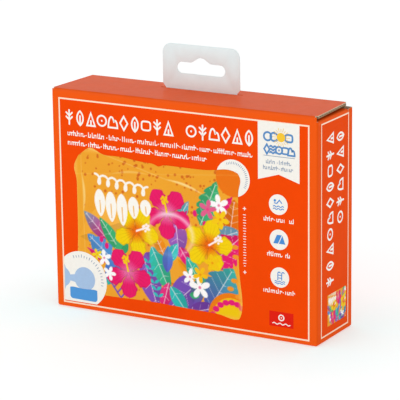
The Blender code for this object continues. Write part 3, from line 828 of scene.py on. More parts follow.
def print_banner():
    blue = Ink("front", "steel", 4)
    for a in (54.9, 58.9):
        blue.ring(a, 116.2, 2.3, 1.1)
    symbols(blue.stroke, 67.9, 116.2, 6.4, 4, 1.1)
    for i, kind in enumerate((7, 2, 0, 4, 5)):
        symbols(blue.stroke, 54.4 + 3.75 * i, 109.0, 5.6, kind, 1.0)
    blue.build()
    sun = Ink("front", "yellow", 5)
    sun.disc(*SUN, 2.6)
    rays(sun, SUN, 3.3, (2.0, 1.3) * 10, [18 * i for i in range(20)], 0.28)
    sun.build()
    grey = Ink("front", "grey", 4)
    grey.stroke([(52.4, 105.4), (71.5, 105.4)], 0.35)
    greeked(grey, 54.0, 69.0, 102.0, 2.4, 21)
    greeked(grey, 52.2, 70.8, 98.6, 2.4, 22)
    grey.build()


def print_icons():
    blue = Ink("front", "blue", 4)
    for lift in (-2.3, -0.9):
        blue.stroke(wave_line(58.2, 64.6, 78.2 + lift, 0.35, 2.5), 0.5)
    blue.stroke([(58.9, 79.2), (60.4, 79.0), (62.0, 81.0), (63.4, 79.4)], 0.6)
    blue.disc(59.2, 80.6, 0.75, 16)
    # Tent.
    blue.shape([(58.2, 56.2), (60.4, 61.2), (63.4, 61.2), (61.0, 56.2)])
    blue.shape([(61.6, 56.2), (63.8, 60.9), (65.6, 56.2)])
    # Pool ladder over water.
    for x in (60.9, 63.3):
        blue.stroke([(x, 35.4)] + arc((x + 0.8, 39.2), 0.8, 180, 30, 5), 0.55)
    for z in (36.6, 38.2):
        blue.stroke([(60.9, z), (63.3, z)], 0.45)
    for lift in (0, 1.1):
        blue.stroke(wave_line(59.0, 65.2, 33.4 + lift, 0.3, 2.5), 0.45)
    blue.build("_icons")


def print_corner_badge():
    pale = Ink("front", "pale_blue", 8)
    pale.disc(-65.6, 18.4, 7.1)
    pale.shape([(-79.4, 10.2)] + arc((-81.4, 18.0), 6.2, -62, 62, 14) + [(-79.4, 26.0)])
    pale.shape([(-76.5, 16.4), (-69.0, 15.2), (-69.0, 21.0), (-76.5, 19.6)])
    pale.build()
    pillow = Ink("front", "sky", 10)
    top = []
    for i in range(17):
        dip = math.sin(math.pi * i / 16) + abs(i / 8 - 1) ** 6
        top.append((-75.8 + 18.6 * i / 16, 13.2 - 0.9 * dip))
    pillow.shape(arc((-73.9, 7.5), 1.9, 180, 270, 6) + arc((-59.1, 7.3), 1.9, 270, 360, 6) + top[::-1])
    pillow.build()
    grey = Ink("front", "grey", 8)
    lengths = [1.1 + 0.5 * (i % 3 == 0) for i in range(17)]
    rays(grey, BADGE, 13.4, lengths, [112 - 7.5 * i for i in range(17)], 0.42)
    grey.build("_badge")
    grey = Ink("front", "grey", 2)
    rays(grey, DISC, 8.2, [1.1] * 22, [115 - 7.0 * i for i in range(22)], 0.38)
    grey.build("_disc")


def print_sides():
    half = (REAR - FRONT) / 2 / MM - 5.5
    rows = [(29, 119, -6.0, 8.2, 1.1, TITLE[:10], True), (63, 118, 6.4, 8.2, 1.1, TITLE[11:], True)]
    for face in ("right", "left"):
        framed_title(face, half, 3.5, 124.5, 0.8, rows).build()


def print_back():
    title = framed_title("back", *BROAD_TITLE)
    for i in range(14):
        greeked(title, -74.5, 10 if i % 5 == 4 else 66, 103.0 - 4.1 * i, 2.2, 40 + i)
    # Four steps: unfold, blow, close the valve, rest.
    for i in range(4):
        a = -58 + 38.6 * i
        title.ring(a, 25.0, 12.5, 0.8)
        symbols(title.stroke, a, 25.0, 13.0, (4, 2, 0, 4)[i], 0.9)
        title.stroke(wave_line(a - 7.5, a + 7.5, 8.5, 0.3, 3), 0.5)
    title.build()


# ---- The pillow's picture ----

GOLD, GOLD_LIGHT, GOLD_DARK = (240, 166, 46), (251, 186, 84), (226, 140, 40)
GREEN, TEAL, BLUE, PURPLE = (55, 175, 115), (45, 190, 185), (78, 145, 208), (126, 78, 178)
MAGENTA, PINK, YELLOW, LIGHT = (228, 26, 118), (233, 22, 104), (244, 208, 10), (255, 240, 240)
DEEP_ORANGE, GREY_BLUE, LILAC = (232, 118, 16), (118, 165, 184), (190, 110, 195)

# Leaves: base, tip, half width, colour at the base and at the tip, number of notches, veins.
LEAVES = (
    # The first is no leaf but a pale gold highlight of the pictured pillow: print on the carton, and a painted
    # highlight on the pillow's own sheet, which takes the same picture.
    ((-30, 60), (-68, 44), 13, GOLD_LIGHT, GOLD, 0, 0),
    ((-49.6, 44.5), (-65, 59.5), 4.4, MAGENTA, GREY_BLUE, 0, 3),
    ((-41, 38.5), (-54.5, 57), 3.9, GREEN, GREEN, 0, 4),
    ((-44, 31), (-63, 46), 6.6, BLUE, BLUE, 4, 2),
    ((-50, 30), (-63.5, 38), 1.8, MAGENTA, MAGENTA, 5, 0),
    ((-41, 34), (-52, 18), 5.5, BLUE, (60, 95, 190), 3, 0),
    ((-44, 28), (-50, 17), 3.2, GREEN, TEAL, 0, 0),
    ((-36, 45), (-44, 36), 4, GREEN, GREEN, 0, 0),
    ((-24, 40), (-12, 22), 8, PURPLE, (110, 100, 195), 0, 0),
    ((-25, 36), (-16.6, 7.6), 7, (140, 85, 185), PURPLE, 0, 2),
    ((-20, 44), (-8, 18), 5.6, TEAL, GREEN, 0, 3),
    ((-4, 62), (-2, 40), 6.5, LILAC, PURPLE, 0, 2),
    ((-3.5, 60), (4.6, 73.5), 3.2, TEAL, GREY_BLUE, 0, 2),
    ((-2, 58), (3.5, 68), 2, PURPLE, MAGENTA, 4, 0),
    ((-12, 40), (-18, 52), 3.6, (235, 130, 20), (240, 150, 30), 0, 2),
    ((-10, 36), (-3, 48), 3.6, TEAL, (60, 200, 200), 0, 1),
    ((-10, 30), (-9, 46), 3.4, (90, 95, 200), BLUE, 0, 0),
    ((14, 30), (-10, 8), 9.5, (110, 80, 180), PURPLE, 0, 4),
    ((-9, 24), (-13.6, 7), 3.9, (225, 60, 130), MAGENTA, 0, 2),
    ((-8, 22), (3.6, 6.5), 4.4, TEAL, (35, 180, 175), 0, 1),
    ((-3, 38.5), (18.5, 18.5), 3.3, (242, 150, 20), (240, 160, 40), 0, 0),
    ((-1.5, 46), (6, 34.5), 3.4, MAGENTA, MAGENTA, 0, 1),
    ((10, 28), (3, 41), 4, GREEN, TEAL, 0, 2),
    ((12, 60.5), (22.8, 87), 7, GREEN, GREEN, 6, 5),
    ((31, 58), (34, 78), 6.2, (228, 104, 14), DEEP_ORANGE, 0, 4),
    ((24.5, 69), (32.8, 79.5), 2.3, MAGENTA, MAGENTA, 5, 0),
    ((22, 54), (37, 60), 5.4, GREY_BLUE, (110, 160, 190), 0, 3),
    ((18, 38), (38, 57), 10.5, MAGENTA, PINK, 7, 5),
    ((17, 12), (33, 38), 12.5, (96, 88, 190), (50, 185, 165), 6, 5),
    ((7, 14), (14, 32), 4.6, (110, 70, 175), GREEN, 0, 0),
    ((3, 8), (24, 14), 5, (120, 66, 170), (110, 60, 165), 0, 3),
    ((4.5, 19), (11, 18.5), 2, GREEN, GREEN, 0, 0),
)
# Hibiscus flowers: centre, radius, first petal's angle, petal colour, throat colour, stamen angle and colour.
HIBISCUS = (
    ((-9.6, 64.9), 15.5, -90, PINK, (238, 130, 175), 102, YELLOW),
    ((-30.2, 51.8), 15, 62, YELLOW, (240, 110, 10), 22, LIGHT),
    ((-35.8, 26.6), 15.5, -88, PINK, (235, 110, 165), 103, YELLOW),
    ((17.2, 49.4), 15.5, 78, YELLOW, (240, 105, 10), 33, LIGHT),
)
# Small blossoms: centre, radius, first petal's angle, petal colour, centre colour.
BLOSSOMS = (
    ((24, 73.4), 6.4, 100, (252, 250, 250), (235, 140, 170)),
    ((16.8, 70.2), 5.8, 80, (225, 95, 140), (235, 60, 130)),
    ((24.8, 65.4), 5.8, 60, (246, 200, 20), (235, 140, 10)),
    ((-52, 33), 5, 95, (252, 250, 250), (230, 120, 160)),
    ((-48.6, 24.2), 4.4, 70, (250, 250, 250), (250, 250, 250)),
    ((-56.6, 34.4), 3.6, 40, (240, 210, 30), (225, 170, 20)),
    ((4.9, 29.4), 5, 80, (252, 250, 250), (230, 120, 160)),
    ((11.2, 24), 7, 96, (252, 250, 250), (230, 120, 160)),
    ((11.6, 31.6), 5, 60, (246, 190, 20), (235, 140, 10)),
    ((19.5, 39.5), 5.2, 30, (244, 196, 16), (235, 150, 10)),
)


def over(rgb, mask, colour):
    """Paints colour, one for all points or one each, where mask is 1."""
    mask = np.clip(mask, 0, 1)[:, None]
    return rgb * (1 - mask) + np.asarray(colour, float) * mask


def soft(distance, blur=0.35):
    """1 where distance is negative, 0 where positive, with an edge blur wide."""
    return np.clip(0.5 - distance / blur, 0, 1)


def stripe(u, v, half, blur=0.35):
    """The mask of a shape reaching half to each side of an axis, between the axis's ends."""
    return soft(np.abs(v) - half, blur) * (u > 0) * (u < 1)


def arch(u):
    """0 at an axis's ends and 1 at its middle."""
    return np.sin(math.pi * np.clip(u, 0, 1))


def local(x, z, base, tip):
    """Place along a base-to-tip axis as a share of its length, place across it, and that length."""
    dx, dz = tip[0] - base[0], tip[1] - base[1]
    length = math.hypot(dx, dz)
    along = ((x - base[0]) * dx + (z - base[1]) * dz) / length
    across = ((z - base[1]) * dx - (x - base[0]) * dz) / length
    return along / length, across, length


def paint_leaf(rgb, x, z, leaf):
    base, tip, half, colour, tip_colour, notches, veins = leaf
    u, v, length = local(x, z, base, tip)
    inside = np.clip(u, 0, 1)
    width = half * np.sin(math.pi * inside**0.85) ** 0.85
    if notches:
        lean = inside + np.abs(v) / length * 0.6
        width = width * (0.62 + 0.38 * np.abs(np.cos(math.pi * notches * lean)) ** 0.5)
    mask = stripe(u, v, width)
    shade = over(np.tile(np.asarray(colour, float), (len(x), 1)), inside, tip_colour)
    shade = shade * (1 - 0.10 * (v > 0))[:, None]
    rgb = over(rgb, mask, shade)
    if veins:
        fine = soft(np.abs(v) - 0.22, 0.3) * (inside < 0.92)
        rgb = over(rgb, mask * fine * 0.75, LIGHT)
        count = veins + 1
        side = np.abs((inside - np.abs(v) / length * 0.55) * count % 1 - 0.5) * length / count
        rgb = over(rgb, mask * soft(side - 0.16, 0.25) * (np.abs(v) < width * 0.75) * 0.55, LIGHT)
    return rgb


def paint_hibiscus(rgb, x, z, flower):
    centre, radius, first, colour, throat, stamen, tip = flower
    for i in range(5):
        turn = math.radians(first + 72 * (i * 2 % 5))
        end = (centre[0] + radius * math.cos(turn), centre[1] + radius * math.sin(turn))
        u, v, _ = local(x, z, centre, end)
        inside = np.clip(u, 0, 1)
        ruffle = 1 + 0.07 * np.sin(inside * 23 + i * 2.1)
        width = radius * 0.345 * np.sin(math.pi * inside**1.6) ** 0.62 * ruffle
        edge = np.abs(v) - width
        mask = soft(edge) * (u > 0) * (u < 1)
        fade = np.clip((inside - 0.12) / 0.38, 0, 1)[:, None]
        petal = np.asarray(throat, float) * (1 - fade) + np.asarray(colour, float) * fade
        veins = np.clip(np.sin(np.arctan2(v, inside * radius + 0.8) * 34) - 0.55, 0, 1) * (1 - inside)
        petal = petal * (1 - 0.35 * veins[:, None])
        petal = petal * (1 - 0.16 * np.clip(1 + edge / 0.9, 0, 1)[:, None])
        rgb = over(rgb, mask, petal)
    near = np.hypot(x - centre[0], z - centre[1])
    rgb = over(rgb, soft(near - radius * 0.10, 1.2) * 0.8, throat)
    turn = math.radians(stamen)
    end = (centre[0] + radius * 0.62 * math.cos(turn), centre[1] + radius * 0.62 * math.sin(turn))
    u, v, _ = local(x, z, centre, end)
    rgb = over(rgb, stripe(u, v, 0.55, 0.4), tip)
    for i in range(9):
        share = 0.55 + 0.055 * i
        swing = 1.7 * math.sin(i * 2.4)
        px = centre[0] + (end[0] - centre[0]) * share - math.sin(turn) * swing
        pz = centre[1] + (end[1] - centre[1]) * share + math.cos(turn) * swing
        rgb = over(rgb, soft(np.hypot(x - px, z - pz) - 0.75), tip)
    return rgb


def paint_blossom(rgb, x, z, flower):
    centre, radius, first, colour, middle = flower
    dx, dz = x - centre[0], z - centre[1]
    near = np.hypot(dx, dz)
    turn = np.arctan2(dz, dx) - math.radians(first)
    edge = radius * (0.30 + 0.70 * np.abs(np.cos(2.5 * turn)) ** 1.15)
    rgb = over(rgb, soft(near - edge, 0.5), colour)
    rgb = over(rgb, soft(near - radius * 0.13, 0.5), middle)
    return rgb


def paint_mark(rgb, x, z):
    """A white scroll over a row of five tall petals."""
    white = (250, 246, 238)
    steps = 260
    for i in range(steps):
        t = i / (steps - 1)
        px = -57.0 + 35 * t + 1.9 * math.sin(t * 2 * math.pi * 6)
        pz = 79.8 - 4.0 * t + 2.7 * math.cos(t * 2 * math.pi * 6)
        near = (np.abs(x - px) < 1.5) & (np.abs(z - pz) < 1.5)
        rgb[near] = over(rgb[near], soft(np.hypot(x[near] - px, z[near] - pz) - 0.6), white)
    petals = ((-54.0, 57.6, 73.6), (-46.6, 55.2, 73.0), (-39.2, 53.8, 72.4), (-31.6, 58.8, 71.6))
    for px, low, high in (*petals, (-23.6, 61.2, 70.8)):
        u, v, _ = local(x, z, (px + 0.6, low), (px - 0.4, high))
        rgb = over(rgb, stripe(u, v, 3.6 * arch(np.clip(u, 0, 1) ** 1.2) ** 0.5), white)
        rgb = over(rgb, soft(np.abs(v) - 0.28) * (u > 0.12) * (u < 0.6), GOLD)
    return rgb


def paint(x, z, highlights=True):
    """sRGB colour, 0 to 255, of the pillow's print at points x, z in millimetres of the carton's front."""
    low_x, high_x, low_z, high_z = -71.0, 38.5, 8.0, 97.0
    rgb = np.tile(np.asarray(GOLD, float), (len(x), 1))
    cloudy = 0.5 + 0.5 * np.sin(x * 0.13 + 1.3 * np.sin(z * 0.09)) * np.sin(z * 0.17 + 0.6)
    rgb = over(rgb, cloudy * 0.22, GOLD_DARK)
    edge = np.minimum.reduce([x - low_x, high_x - x, z - low_z, high_z - z])
    draws = np.random.default_rng(3)
    for _ in range(330):
        px, pz = draws.uniform(low_x, high_x), high_z - (high_z - low_z) * draws.uniform(0, 1) ** 1.9
        size = draws.uniform(0.4, 0.95)
        rgb = over(rgb, soft(np.hypot(x - px, z - pz) - size) * 0.85, (206, 98, 26))
    for leaf in LEAVES:
        rgb = paint_leaf(rgb, x, z, leaf)
    # A round patch in the corner below, with a pink sprig on it.
    near = np.hypot(x - 31.5, z - 8.5)
    rgb = over(rgb, soft(near - 15.0), (236, 124, 16))
    rgb = over(rgb, soft(near - 12.0), (240, 200, 14))
    for i in range(7):
        turn = math.radians(165 - 19 * i)
        px, pz = 31.5 + 12.2 * math.cos(turn) * (1 - 0.02 * i), 6.5 + 11.5 * math.sin(turn)
        rgb = over(rgb, soft(np.hypot((x - px) * 0.8, z - pz) - 1.7), MAGENTA)
    for px, pz in ((33.5, 31.0), (31.0, 26.0), (36.0, 22.0), (34.0, 50.5), (34.5, 45.0)):
        rgb = over(rgb, soft(np.hypot((x - px) * 0.7, (z - pz) * 1.1) - 1.5), (240, 150, 40))
    for px, pz in ((8.5, 67.0), (-53.5, 44.0), (-50.0, 40.5), (14.8, 61.5)):
        rgb = over(rgb, soft(np.hypot(x - px, (z - pz) * 0.7) - 1.3), MAGENTA)
    # Fine sprigs on the purple leaf.
    for i in range(6):
        px, pz = -22.5 + 1.3 * i, 34.0 - 3.9 * i
        for lean in (-1, 1):
            u, v, _ = local(x, z, (px, pz), (px + 3.4 * lean, pz + 2.6))
            rgb = over(rgb, stripe(u, v, 0.9 * arch(u)), TEAL)
    # Chevrons below the lower pink flower.
    for i in range(3):
        px, pz = -45.5 + 2.2 * i, 18.6 - 2.9 * i
        for lean in (-1, 1):
            u, v, _ = local(x, z, (px, pz - 2.2), (px + 2.9 * lean, pz + 1.2))
            rgb = over(rgb, stripe(u, v, 0.5), (120, 82, 176))
    for flower in HIBISCUS:
        rgb = paint_hibiscus(rgb, x, z, flower)
    for flower in BLOSSOMS:
        rgb = paint_blossom(rgb, x, z, flower)
    rgb = paint_mark(rgb, x, z)
    if highlights:
        rgb = over(rgb, soft(edge - 1.8, 2.6) * 0.75, GOLD_LIGHT)
        corner = soft(np.hypot(x - 33.0, z - 90.0) - 10.7) * (x > 16)
        rgb = over(rgb, corner, (236, 116, 18))
        # Gloss on the blown-up pillow: a ring round the middle and two streaks.
        ring = np.hypot((x + 7.5) / 14.5, (z - 52.5) / 12.0)
        turn = np.arctan2(z - 52.5, x + 7.5)
        strength = 0.42 + 0.30 * np.sin(turn + 0.4)
        rgb = over(rgb, soft(np.abs(ring - 1) * 13 - 1.1, 2.4) * strength, (255, 240, 245))
        streaks = (((-10.0, 84.4), (14.0, 78.5), 0.7, 0.75), ((-66.0, 82.0), (-65.4, 58.0), 0.8, 0.55))
        for a, b, width, strength in (*streaks, ((-46.0, 83.5), (-22.0, 86.0), 0.6, 0.35)):
            u, v, _ = local(x, z, a, b)
            bow = np.abs(v - 1.2 * arch(u))
            rgb = over(rgb, soft(bow - width * arch(u), 0.8) * strength, (255, 235, 170))
    return rgb


def store_colours(mesh, rgb):
    """Keeps sRGB colours, 0 to 255, as the mesh's point colours."""
    share = np.clip(rgb / 255, 0, 1)
    values = np.where(share <= 0.04045, share / 12.92, ((share + 0.055) / 1.055) ** 2.4)
    layer = mesh.color_attributes.new("print", "FLOAT_COLOR", "POINT")
    values = np.concatenate([values, np.ones((len(values), 1))], 1)
    layer.data.foreach_set("color", values.astype(np.float32).ravel())


def picture_shell(name, points, rows, columns, rgb=None):
    """A closed shell's mesh from its points, the outer grid's first and then the inner's, printed in rgb."""
    mesh = bpy.data.meshes.new(name)
    quads = shell_quads(rows, columns)
    mesh.vertices.add(len(points))
    mesh.vertices.foreach_set("co", np.asarray(points, np.float32).ravel())
    mesh.loops.add(quads.size)
    mesh.loops.foreach_set("vertex_index", quads.astype(np.int32).ravel())
    mesh.polygons.add(len(quads))
    mesh.polygons.foreach_set("loop_start", (np.arange(len(quads)) * 4).astype(np.int32))
    mesh.update(calc_edges=True)
    mesh.validate()
    if rgb is not None:
        store_colours(mesh, np.concatenate([rgb, rgb]))
    return mesh


def shell_quads(rows, columns):
    """Quads of a closed shell: the outer grid's points come first, then the inner grid's."""
    index = np.arange(rows * columns).reshape(rows, columns)
    count = rows * columns
    outer = np.stack([index[:-1, :-1], index[:-1, 1:], index[1:, 1:], index[1:, :-1]], -1).reshape(-1, 4)
    inner = outer[:, ::-1] + count
    rim = np.concatenate([index[0, :], index[1:, -1], index[-1, -2::-1], index[-2:0:-1, 0]])
    after = np.roll(rim, -1)
    side = np.stack([after, rim, rim + count, after + count], -1)
    return np.concatenate([outer, inner, side])


def pillow_outline(s, t):
    """Place on the front, in millimetres, of the drawn pillow's point at s, t, each from -1 to 1."""
    s, t = s * (1 - 0.035 * t**12), t * (1 - 0.035 * s**12)
    x0, z0 = -16.3 + 53.5 * s, 52.0 + 42.0 * t

    def bump(at, centre, width):
        return np.exp(-(((at - centre) / width) ** 2))

    left = -69.3 - 1.9 * bump(z0, 86, 5) - 0.7 * bump(z0, 30, 12)
    right = 36.3 + 2.2 * bump(z0, 90, 5) + 2.4 * bump(z0, 18, 15)
    high = 92.6 + 4.8 * bump(x0, -60, 6.5) + 1.6 * bump(x0, -42, 12)
    high = high + 2.4 * bump(x0, 31, 10) - 1.2 * bump(x0, -15, 2.5)
    low = 10.3 - 2.9 * bump(x0, 34, 8) + 0.8 * bump(x0, -20, 20)
    return left + (right - left) * (s + 1) / 2, low + (high - low) * (t + 1) / 2


def add_print(face, mesh, material):
    mesh.materials.append(pictured(material))
    thing = link(face + "_picture", mesh)
    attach(thing, "carton")


def print_picture():
    """The pillow drawn on the front panel."""
    columns, rows = 248, 196
    s, t = np.meshgrid(np.linspace(-1, 1, columns), np.linspace(-1, 1, rows))
    x, z = (v.ravel() for v in pillow_outline(s, t))
    base = FRONT - 3.4 * INK_STEP
    grids = [np.stack([x * MM, np.full_like(x, y), z * MM], 1) for y in (base - INK_STEP, base)]
    mesh = picture_shell("front_picture", np.concatenate(grids), rows, columns, paint(x, z))
    add_print("front", mesh, "picture_print")


def print_thumbnail(face, low_a, high_a, low_b, high_b):
    """A crop of the pillow's print on a side panel."""
    columns, rows = 60, 46
    s, t = np.meshgrid(np.linspace(0, 1, columns), np.linspace(0, 1, rows))
    s, t = s.ravel(), t.ravel()
    a, b = low_a + (high_a - low_a) * s, low_b + (high_b - low_b) * t
    plane = FACES[face]
    points = []
    for depth in (-2.6 * INK_STEP, -1.6 * INK_STEP):
        points += [plane(p * MM, q * MM, depth)[:] for p, q in zip(a, b)]
    rgb = paint(-62 + 90 * s, 12 + 68 * t, highlights=False)
    add_print(face, picture_shell(face + "_picture", points, rows, columns, rgb), face + "_picture_print")


# ---- Hang tab ----


def build_tab():
    """A die-cut plastic sheet with eased edges, a long peg slot with a hump, and shoulders under the lid."""
    thick = TAB_HIGH.y - TAB_LOW.y
    half, wide = TAB_WIDTH / 2, (TAB_HIGH.x - TAB_LOW.x) / 2
    top, low, shoulder, r = TAB_HIGH.z, TAB_LOW.z, HEIGHT - BOARD - GAP, 0.0055
    neck, foot, cheek = half - 0.0020, HEIGHT + 0.0002, HEIGHT + 0.0030
    outline = arc((wide - r, low + r), r, -90, 0, 10) + [(wide, shoulder), (neck, shoulder), (neck, foot)]
    outline += [(half - 0.0004, cheek - 0.0008), (half, cheek)]
    outline += arc((half - r, top - r), r, 0, 90, 14) + arc((-half + r, top - r), r, 90, 180, 14)
    outline += [(-half, cheek), (-half + 0.0004, cheek - 0.0008), (-neck, foot), (-neck, shoulder)]
    outline += [(-wide, shoulder)] + arc((-wide + r, low + r), r, 180, 270, 10)
    slot_half, slot_high, hump, rise = 0.0155, 0.0064, 0.00675, 0.0031
    base, end = top - 0.0167, slot_high / 2
    slot = arc((slot_half - end, base + end), end, -90, 90, 14)
    steps = 16
    for i in range(steps + 1):
        share = 1 - 2 * i / steps
        slot.append((hump * share, base + slot_high + rise * (0.5 + 0.5 * math.cos(math.pi * share)) ** 0.8))
    slot += arc((-slot_half + end, base + end), end, 90, 270, 14)
    face = Face((TAB_OFFSET, TAB_LOW.y, 0), (1, 0, 0), (0, 0, 1), (0, 1, 0))

    def solid(points, low_depth, high_depth):
        bm = bmesh.new()
        prism(bm, points, face, low_depth, high_depth)
        return link("tab", closed_mesh("tab", bm))

    tab, cutter = solid(outline, 0, thick), solid(slot, -thick, 2 * thick)
    cut = tab.modifiers.new("slot", "BOOLEAN")
    cut.operation, cut.solver, cut.object = "DIFFERENCE", "EXACT", cutter
    ease = tab.modifiers.new("edge", "BEVEL")
    ease.width, ease.segments, ease.limit_method, ease.angle_limit = 0.0001, 2, "ANGLE", math.radians(50)
    mesh = applied(tab)
    mesh.name = "hang_tab_sheet"
    bpy.data.objects.remove(tab)
    bpy.data.objects.remove(cutter)
    mesh.materials.clear()
    mesh.materials.append(plastic("frosted_tab", (238, 251, 252), 0.4, 0.05, 0.00001, Specular_IOR_Level=0.3))
    mesh.shade_smooth()
    mesh.set_sharp_from_angle(angle=math.radians(40))
    thing = link("hang_tab_sheet", mesh)
    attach(thing, "hang_tab")
    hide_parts("hang_tab")


# ---- Folded pillow ----

PILLOW_LENGTH, PILLOW_WIDTH = 0.370, 0.300
PILLOW_LEAVES, LEAF_PITCH, FILM, FILM_GAP = 4, 0.006, 0.0006, 0.0003
FOLD_RADIUS = LEAF_PITCH / 2
LEAF_HALF = 2 * (FILM + FILM_GAP)
LEAF_STRAIGHT = (PILLOW_LENGTH - (PILLOW_LEAVES - 1) * math.pi * FOLD_RADIUS) / PILLOW_LEAVES


def leaf_station(distance):
    """(y, z, normal y, normal z) at a distance along the folded pillow's middle."""
    low = PACK_LOW.z + FOLD_RADIUS + LEAF_HALF
    bend = math.pi * FOLD_RADIUS
    leaf = min(int(distance / (LEAF_STRAIGHT + bend)), PILLOW_LEAVES - 1)
    rest = distance - leaf * (LEAF_STRAIGHT + bend)
    y = PACK_LOW.y + LEAF_HALF + leaf * LEAF_PITCH
    down = leaf % 2 == 0
    sign = -1 if down else 1
    start = low + LEAF_STRAIGHT if down else low
    if rest <= LEAF_STRAIGHT:
        return y, start + sign * rest, sign, 0.0
    turn = (rest - LEAF_STRAIGHT) / FOLD_RADIUS
    finish = start + sign * LEAF_STRAIGHT
    return (
        y + FOLD_RADIUS * (1 - math.cos(turn)),
        finish + sign * FOLD_RADIUS * math.sin(turn),
        sign * math.cos(turn),
        -math.sin(turn),
    )


def half_fold(distance, count):
    """(x, height over the leaf's middle, share of the width) across the half-folded pillow, at a distance
    from its middle."""
    half = (PACK_HIGH.x - PACK_LOW.x) / 2
    bend = half - LEAF_HALF
    straight, turn_length = bend + half, math.pi * distance
    total = 2 * straight + turn_length
    # Enough points round the tight fold, and even ones along the flats.
    marks = list(np.linspace(0, straight, count)) + [straight + turn_length * i / 8 for i in range(1, 8)]
    marks += list(np.linspace(straight + turn_length, total, count))
    path = []
    for mark in marks:
        past = mark - straight
        if past <= 0:
            x, height = -half + mark, distance
        elif past < turn_length:
            turn = past / distance
            x, height = bend + distance * math.sin(turn), distance * math.cos(turn)
        else:
            x, height = bend - (past - turn_length), -distance
        path.append((x, height, mark / total))
    return path


def pillow_sheet(name, inner, node, material, art):
    """One of the pillow's two sheets, folded in half and then in leaves, thin and slightly crumpled."""
    thin = 0.00026
    bend = math.pi * FOLD_RADIUS
    marks = []
    for leaf in range(PILLOW_LEAVES):
        start = leaf * (LEAF_STRAIGHT + bend)
        marks += list(np.linspace(start, start + LEAF_STRAIGHT, 40))
        if leaf < PILLOW_LEAVES - 1:
            marks += [start + LEAF_STRAIGHT + bend * i / 10 for i in range(1, 10)]
    middle = inner + FILM / 2
    across = half_fold(middle, 70)
    grids = ([], [])
    flat = []
    for mark in marks:
        y, z, ny, nz = leaf_station(mark)
        for x, w, share in across:
            crumple = math.sin(mark * 310 + 3 * math.sin(share * 40)) + math.sin(share * 130 + mark * 90)
            rise = (FILM - thin) / 2 * 0.4 * crumple
            sign = 1 if w >= 0 else -1
            on_flat = abs(w) > middle * 0.99
            for grid, offset in zip(grids, (thin / 2, -thin / 2)):
                height = w + sign * (rise + offset) if on_flat else w * (1 + offset / middle)
                grid.append((x + (0 if on_flat else offset), y + height * ny, z + height * nz))
            flat.append((mark / PILLOW_LENGTH, share))
    along, share = np.array(flat).T
    rgb = paint(-70 + 108 * along, 9 + 87 * share, highlights=False) if art else None
    mesh = picture_shell(name, np.array(grids[0] + grids[1]), len(marks), len(across), rgb)
    mesh.shade_smooth()
    mesh.materials.append(material)
    thing = link(name, mesh)
    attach(thing, "pillow_pack")
    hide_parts(node)


def build_pillow():
    print_side, flock = pictured("vinyl_print", 0.3, 0.5), flocked("flock")
    outer = 2 * FILM_GAP + FILM
    pillow_sheet("printed_sheet", outer, "pillow_printed_sheet", print_side, True)
    pillow_sheet("flocked_sheet", FILM_GAP, "pillow_flocked_sheet", flock, False)


def turned(bm, profile, centre):
    """Adds a ring turned about +Y through centre from closed (radius, height) points in millimetres."""
    steps, count = 48, len(profile)
    rows = []
    for i in range(steps):
        turn = 2 * math.pi * i / steps
        ring = [Vector((r * math.cos(turn), h, r * math.sin(turn))) * MM for r, h in profile]
        rows.append([bm.verts.new(centre + point) for point in ring])
    for one, two in zip(rows, rows[1:] + rows[:1]):
        for j in range(count):
            k = (j + 1) % count
            bm.faces.new((one[j], two[j], two[k], one[k]))


def ribbon(path, thick, low_x, high_x):
    """A bent strip as a bmesh, from low_x to high_x, along a path of (y, z)."""
    outer, inner = [], []
    for i, (y, z) in enumerate(path):
        before, after = path[max(i - 1, 0)], path[min(i + 1, len(path) - 1)]
        step = Vector((after[0] - before[0], after[1] - before[1])).normalized()
        lean = Vector((-step.y, step.x)) * (thick / 2)
        for rail, sign in ((outer, 1), (inner, -1)):
            rail.append([Vector((x, y + sign * lean.x, z + sign * lean.y)) for x in (low_x, high_x)])
    bm = bmesh.new()
    grid_shell(bm, outer, inner, 0)
    return bm


def build_valve():
    centre = Vector(((VALVE_LOW.x + VALVE_HIGH.x) / 2, VALVE_LOW.y, (VALVE_LOW.z + VALVE_HIGH.z) / 2))
    vinyl = plastic("valve_vinyl", (244, 176, 100), 0.3, 0.3)
    flange, stem, bore, high = 10.0, 4.2, 2.8, 4.2
    reach = 0.0075
    # Flange with a welded rib, a stem with a bead at its mouth, and the bore.
    profile = [(bore, 0), (flange, 0), (flange, 0.3), (flange - 0.6, 0.6), (flange - 2.2, 0.6)]
    profile += [(flange - 2.6, 0.8), (flange - 3.2, 0.8), (flange - 3.6, 0.6), (stem + 0.7, 0.6)]
    profile += [(stem + 0.2, 0.9), (stem, 1.4), (stem, high - 0.9), (stem + 0.15, high - 0.6)]
    profile += [(stem + 0.1, high - 0.2), (stem - 0.2, high), (bore + 0.2, high), (bore, high - 0.2)]
    bm = bmesh.new()
    turned(bm, profile, centre)
    add_mesh("valve_stem", bm, vinyl, "pillow_pack", smooth=35, nodes=("valve_body",))
    plate = Face(centre, (1, 0, 0), (0, 0, 1), (0, 1, 0))
    bm = bmesh.new()
    prism(bm, rectangle(-0.0018, 0.0018, reach - 0.0006, reach + 0.0006), plate, 0.0004, 0.0020)
    add_mesh("valve_strap_root", bm, vinyl, "pillow_pack")
    bm = bmesh.new()
    prism(bm, arc((0, 0), bore * MM - GAP, 0, 352.5, 47), plate, 0.0006, 0.0010)
    add_mesh("valve_check_flap", bm, vinyl, "pillow_pack", nodes=("valve_flap",))
    build_plug(centre, plate, high * MM + GAP, reach, vinyl)


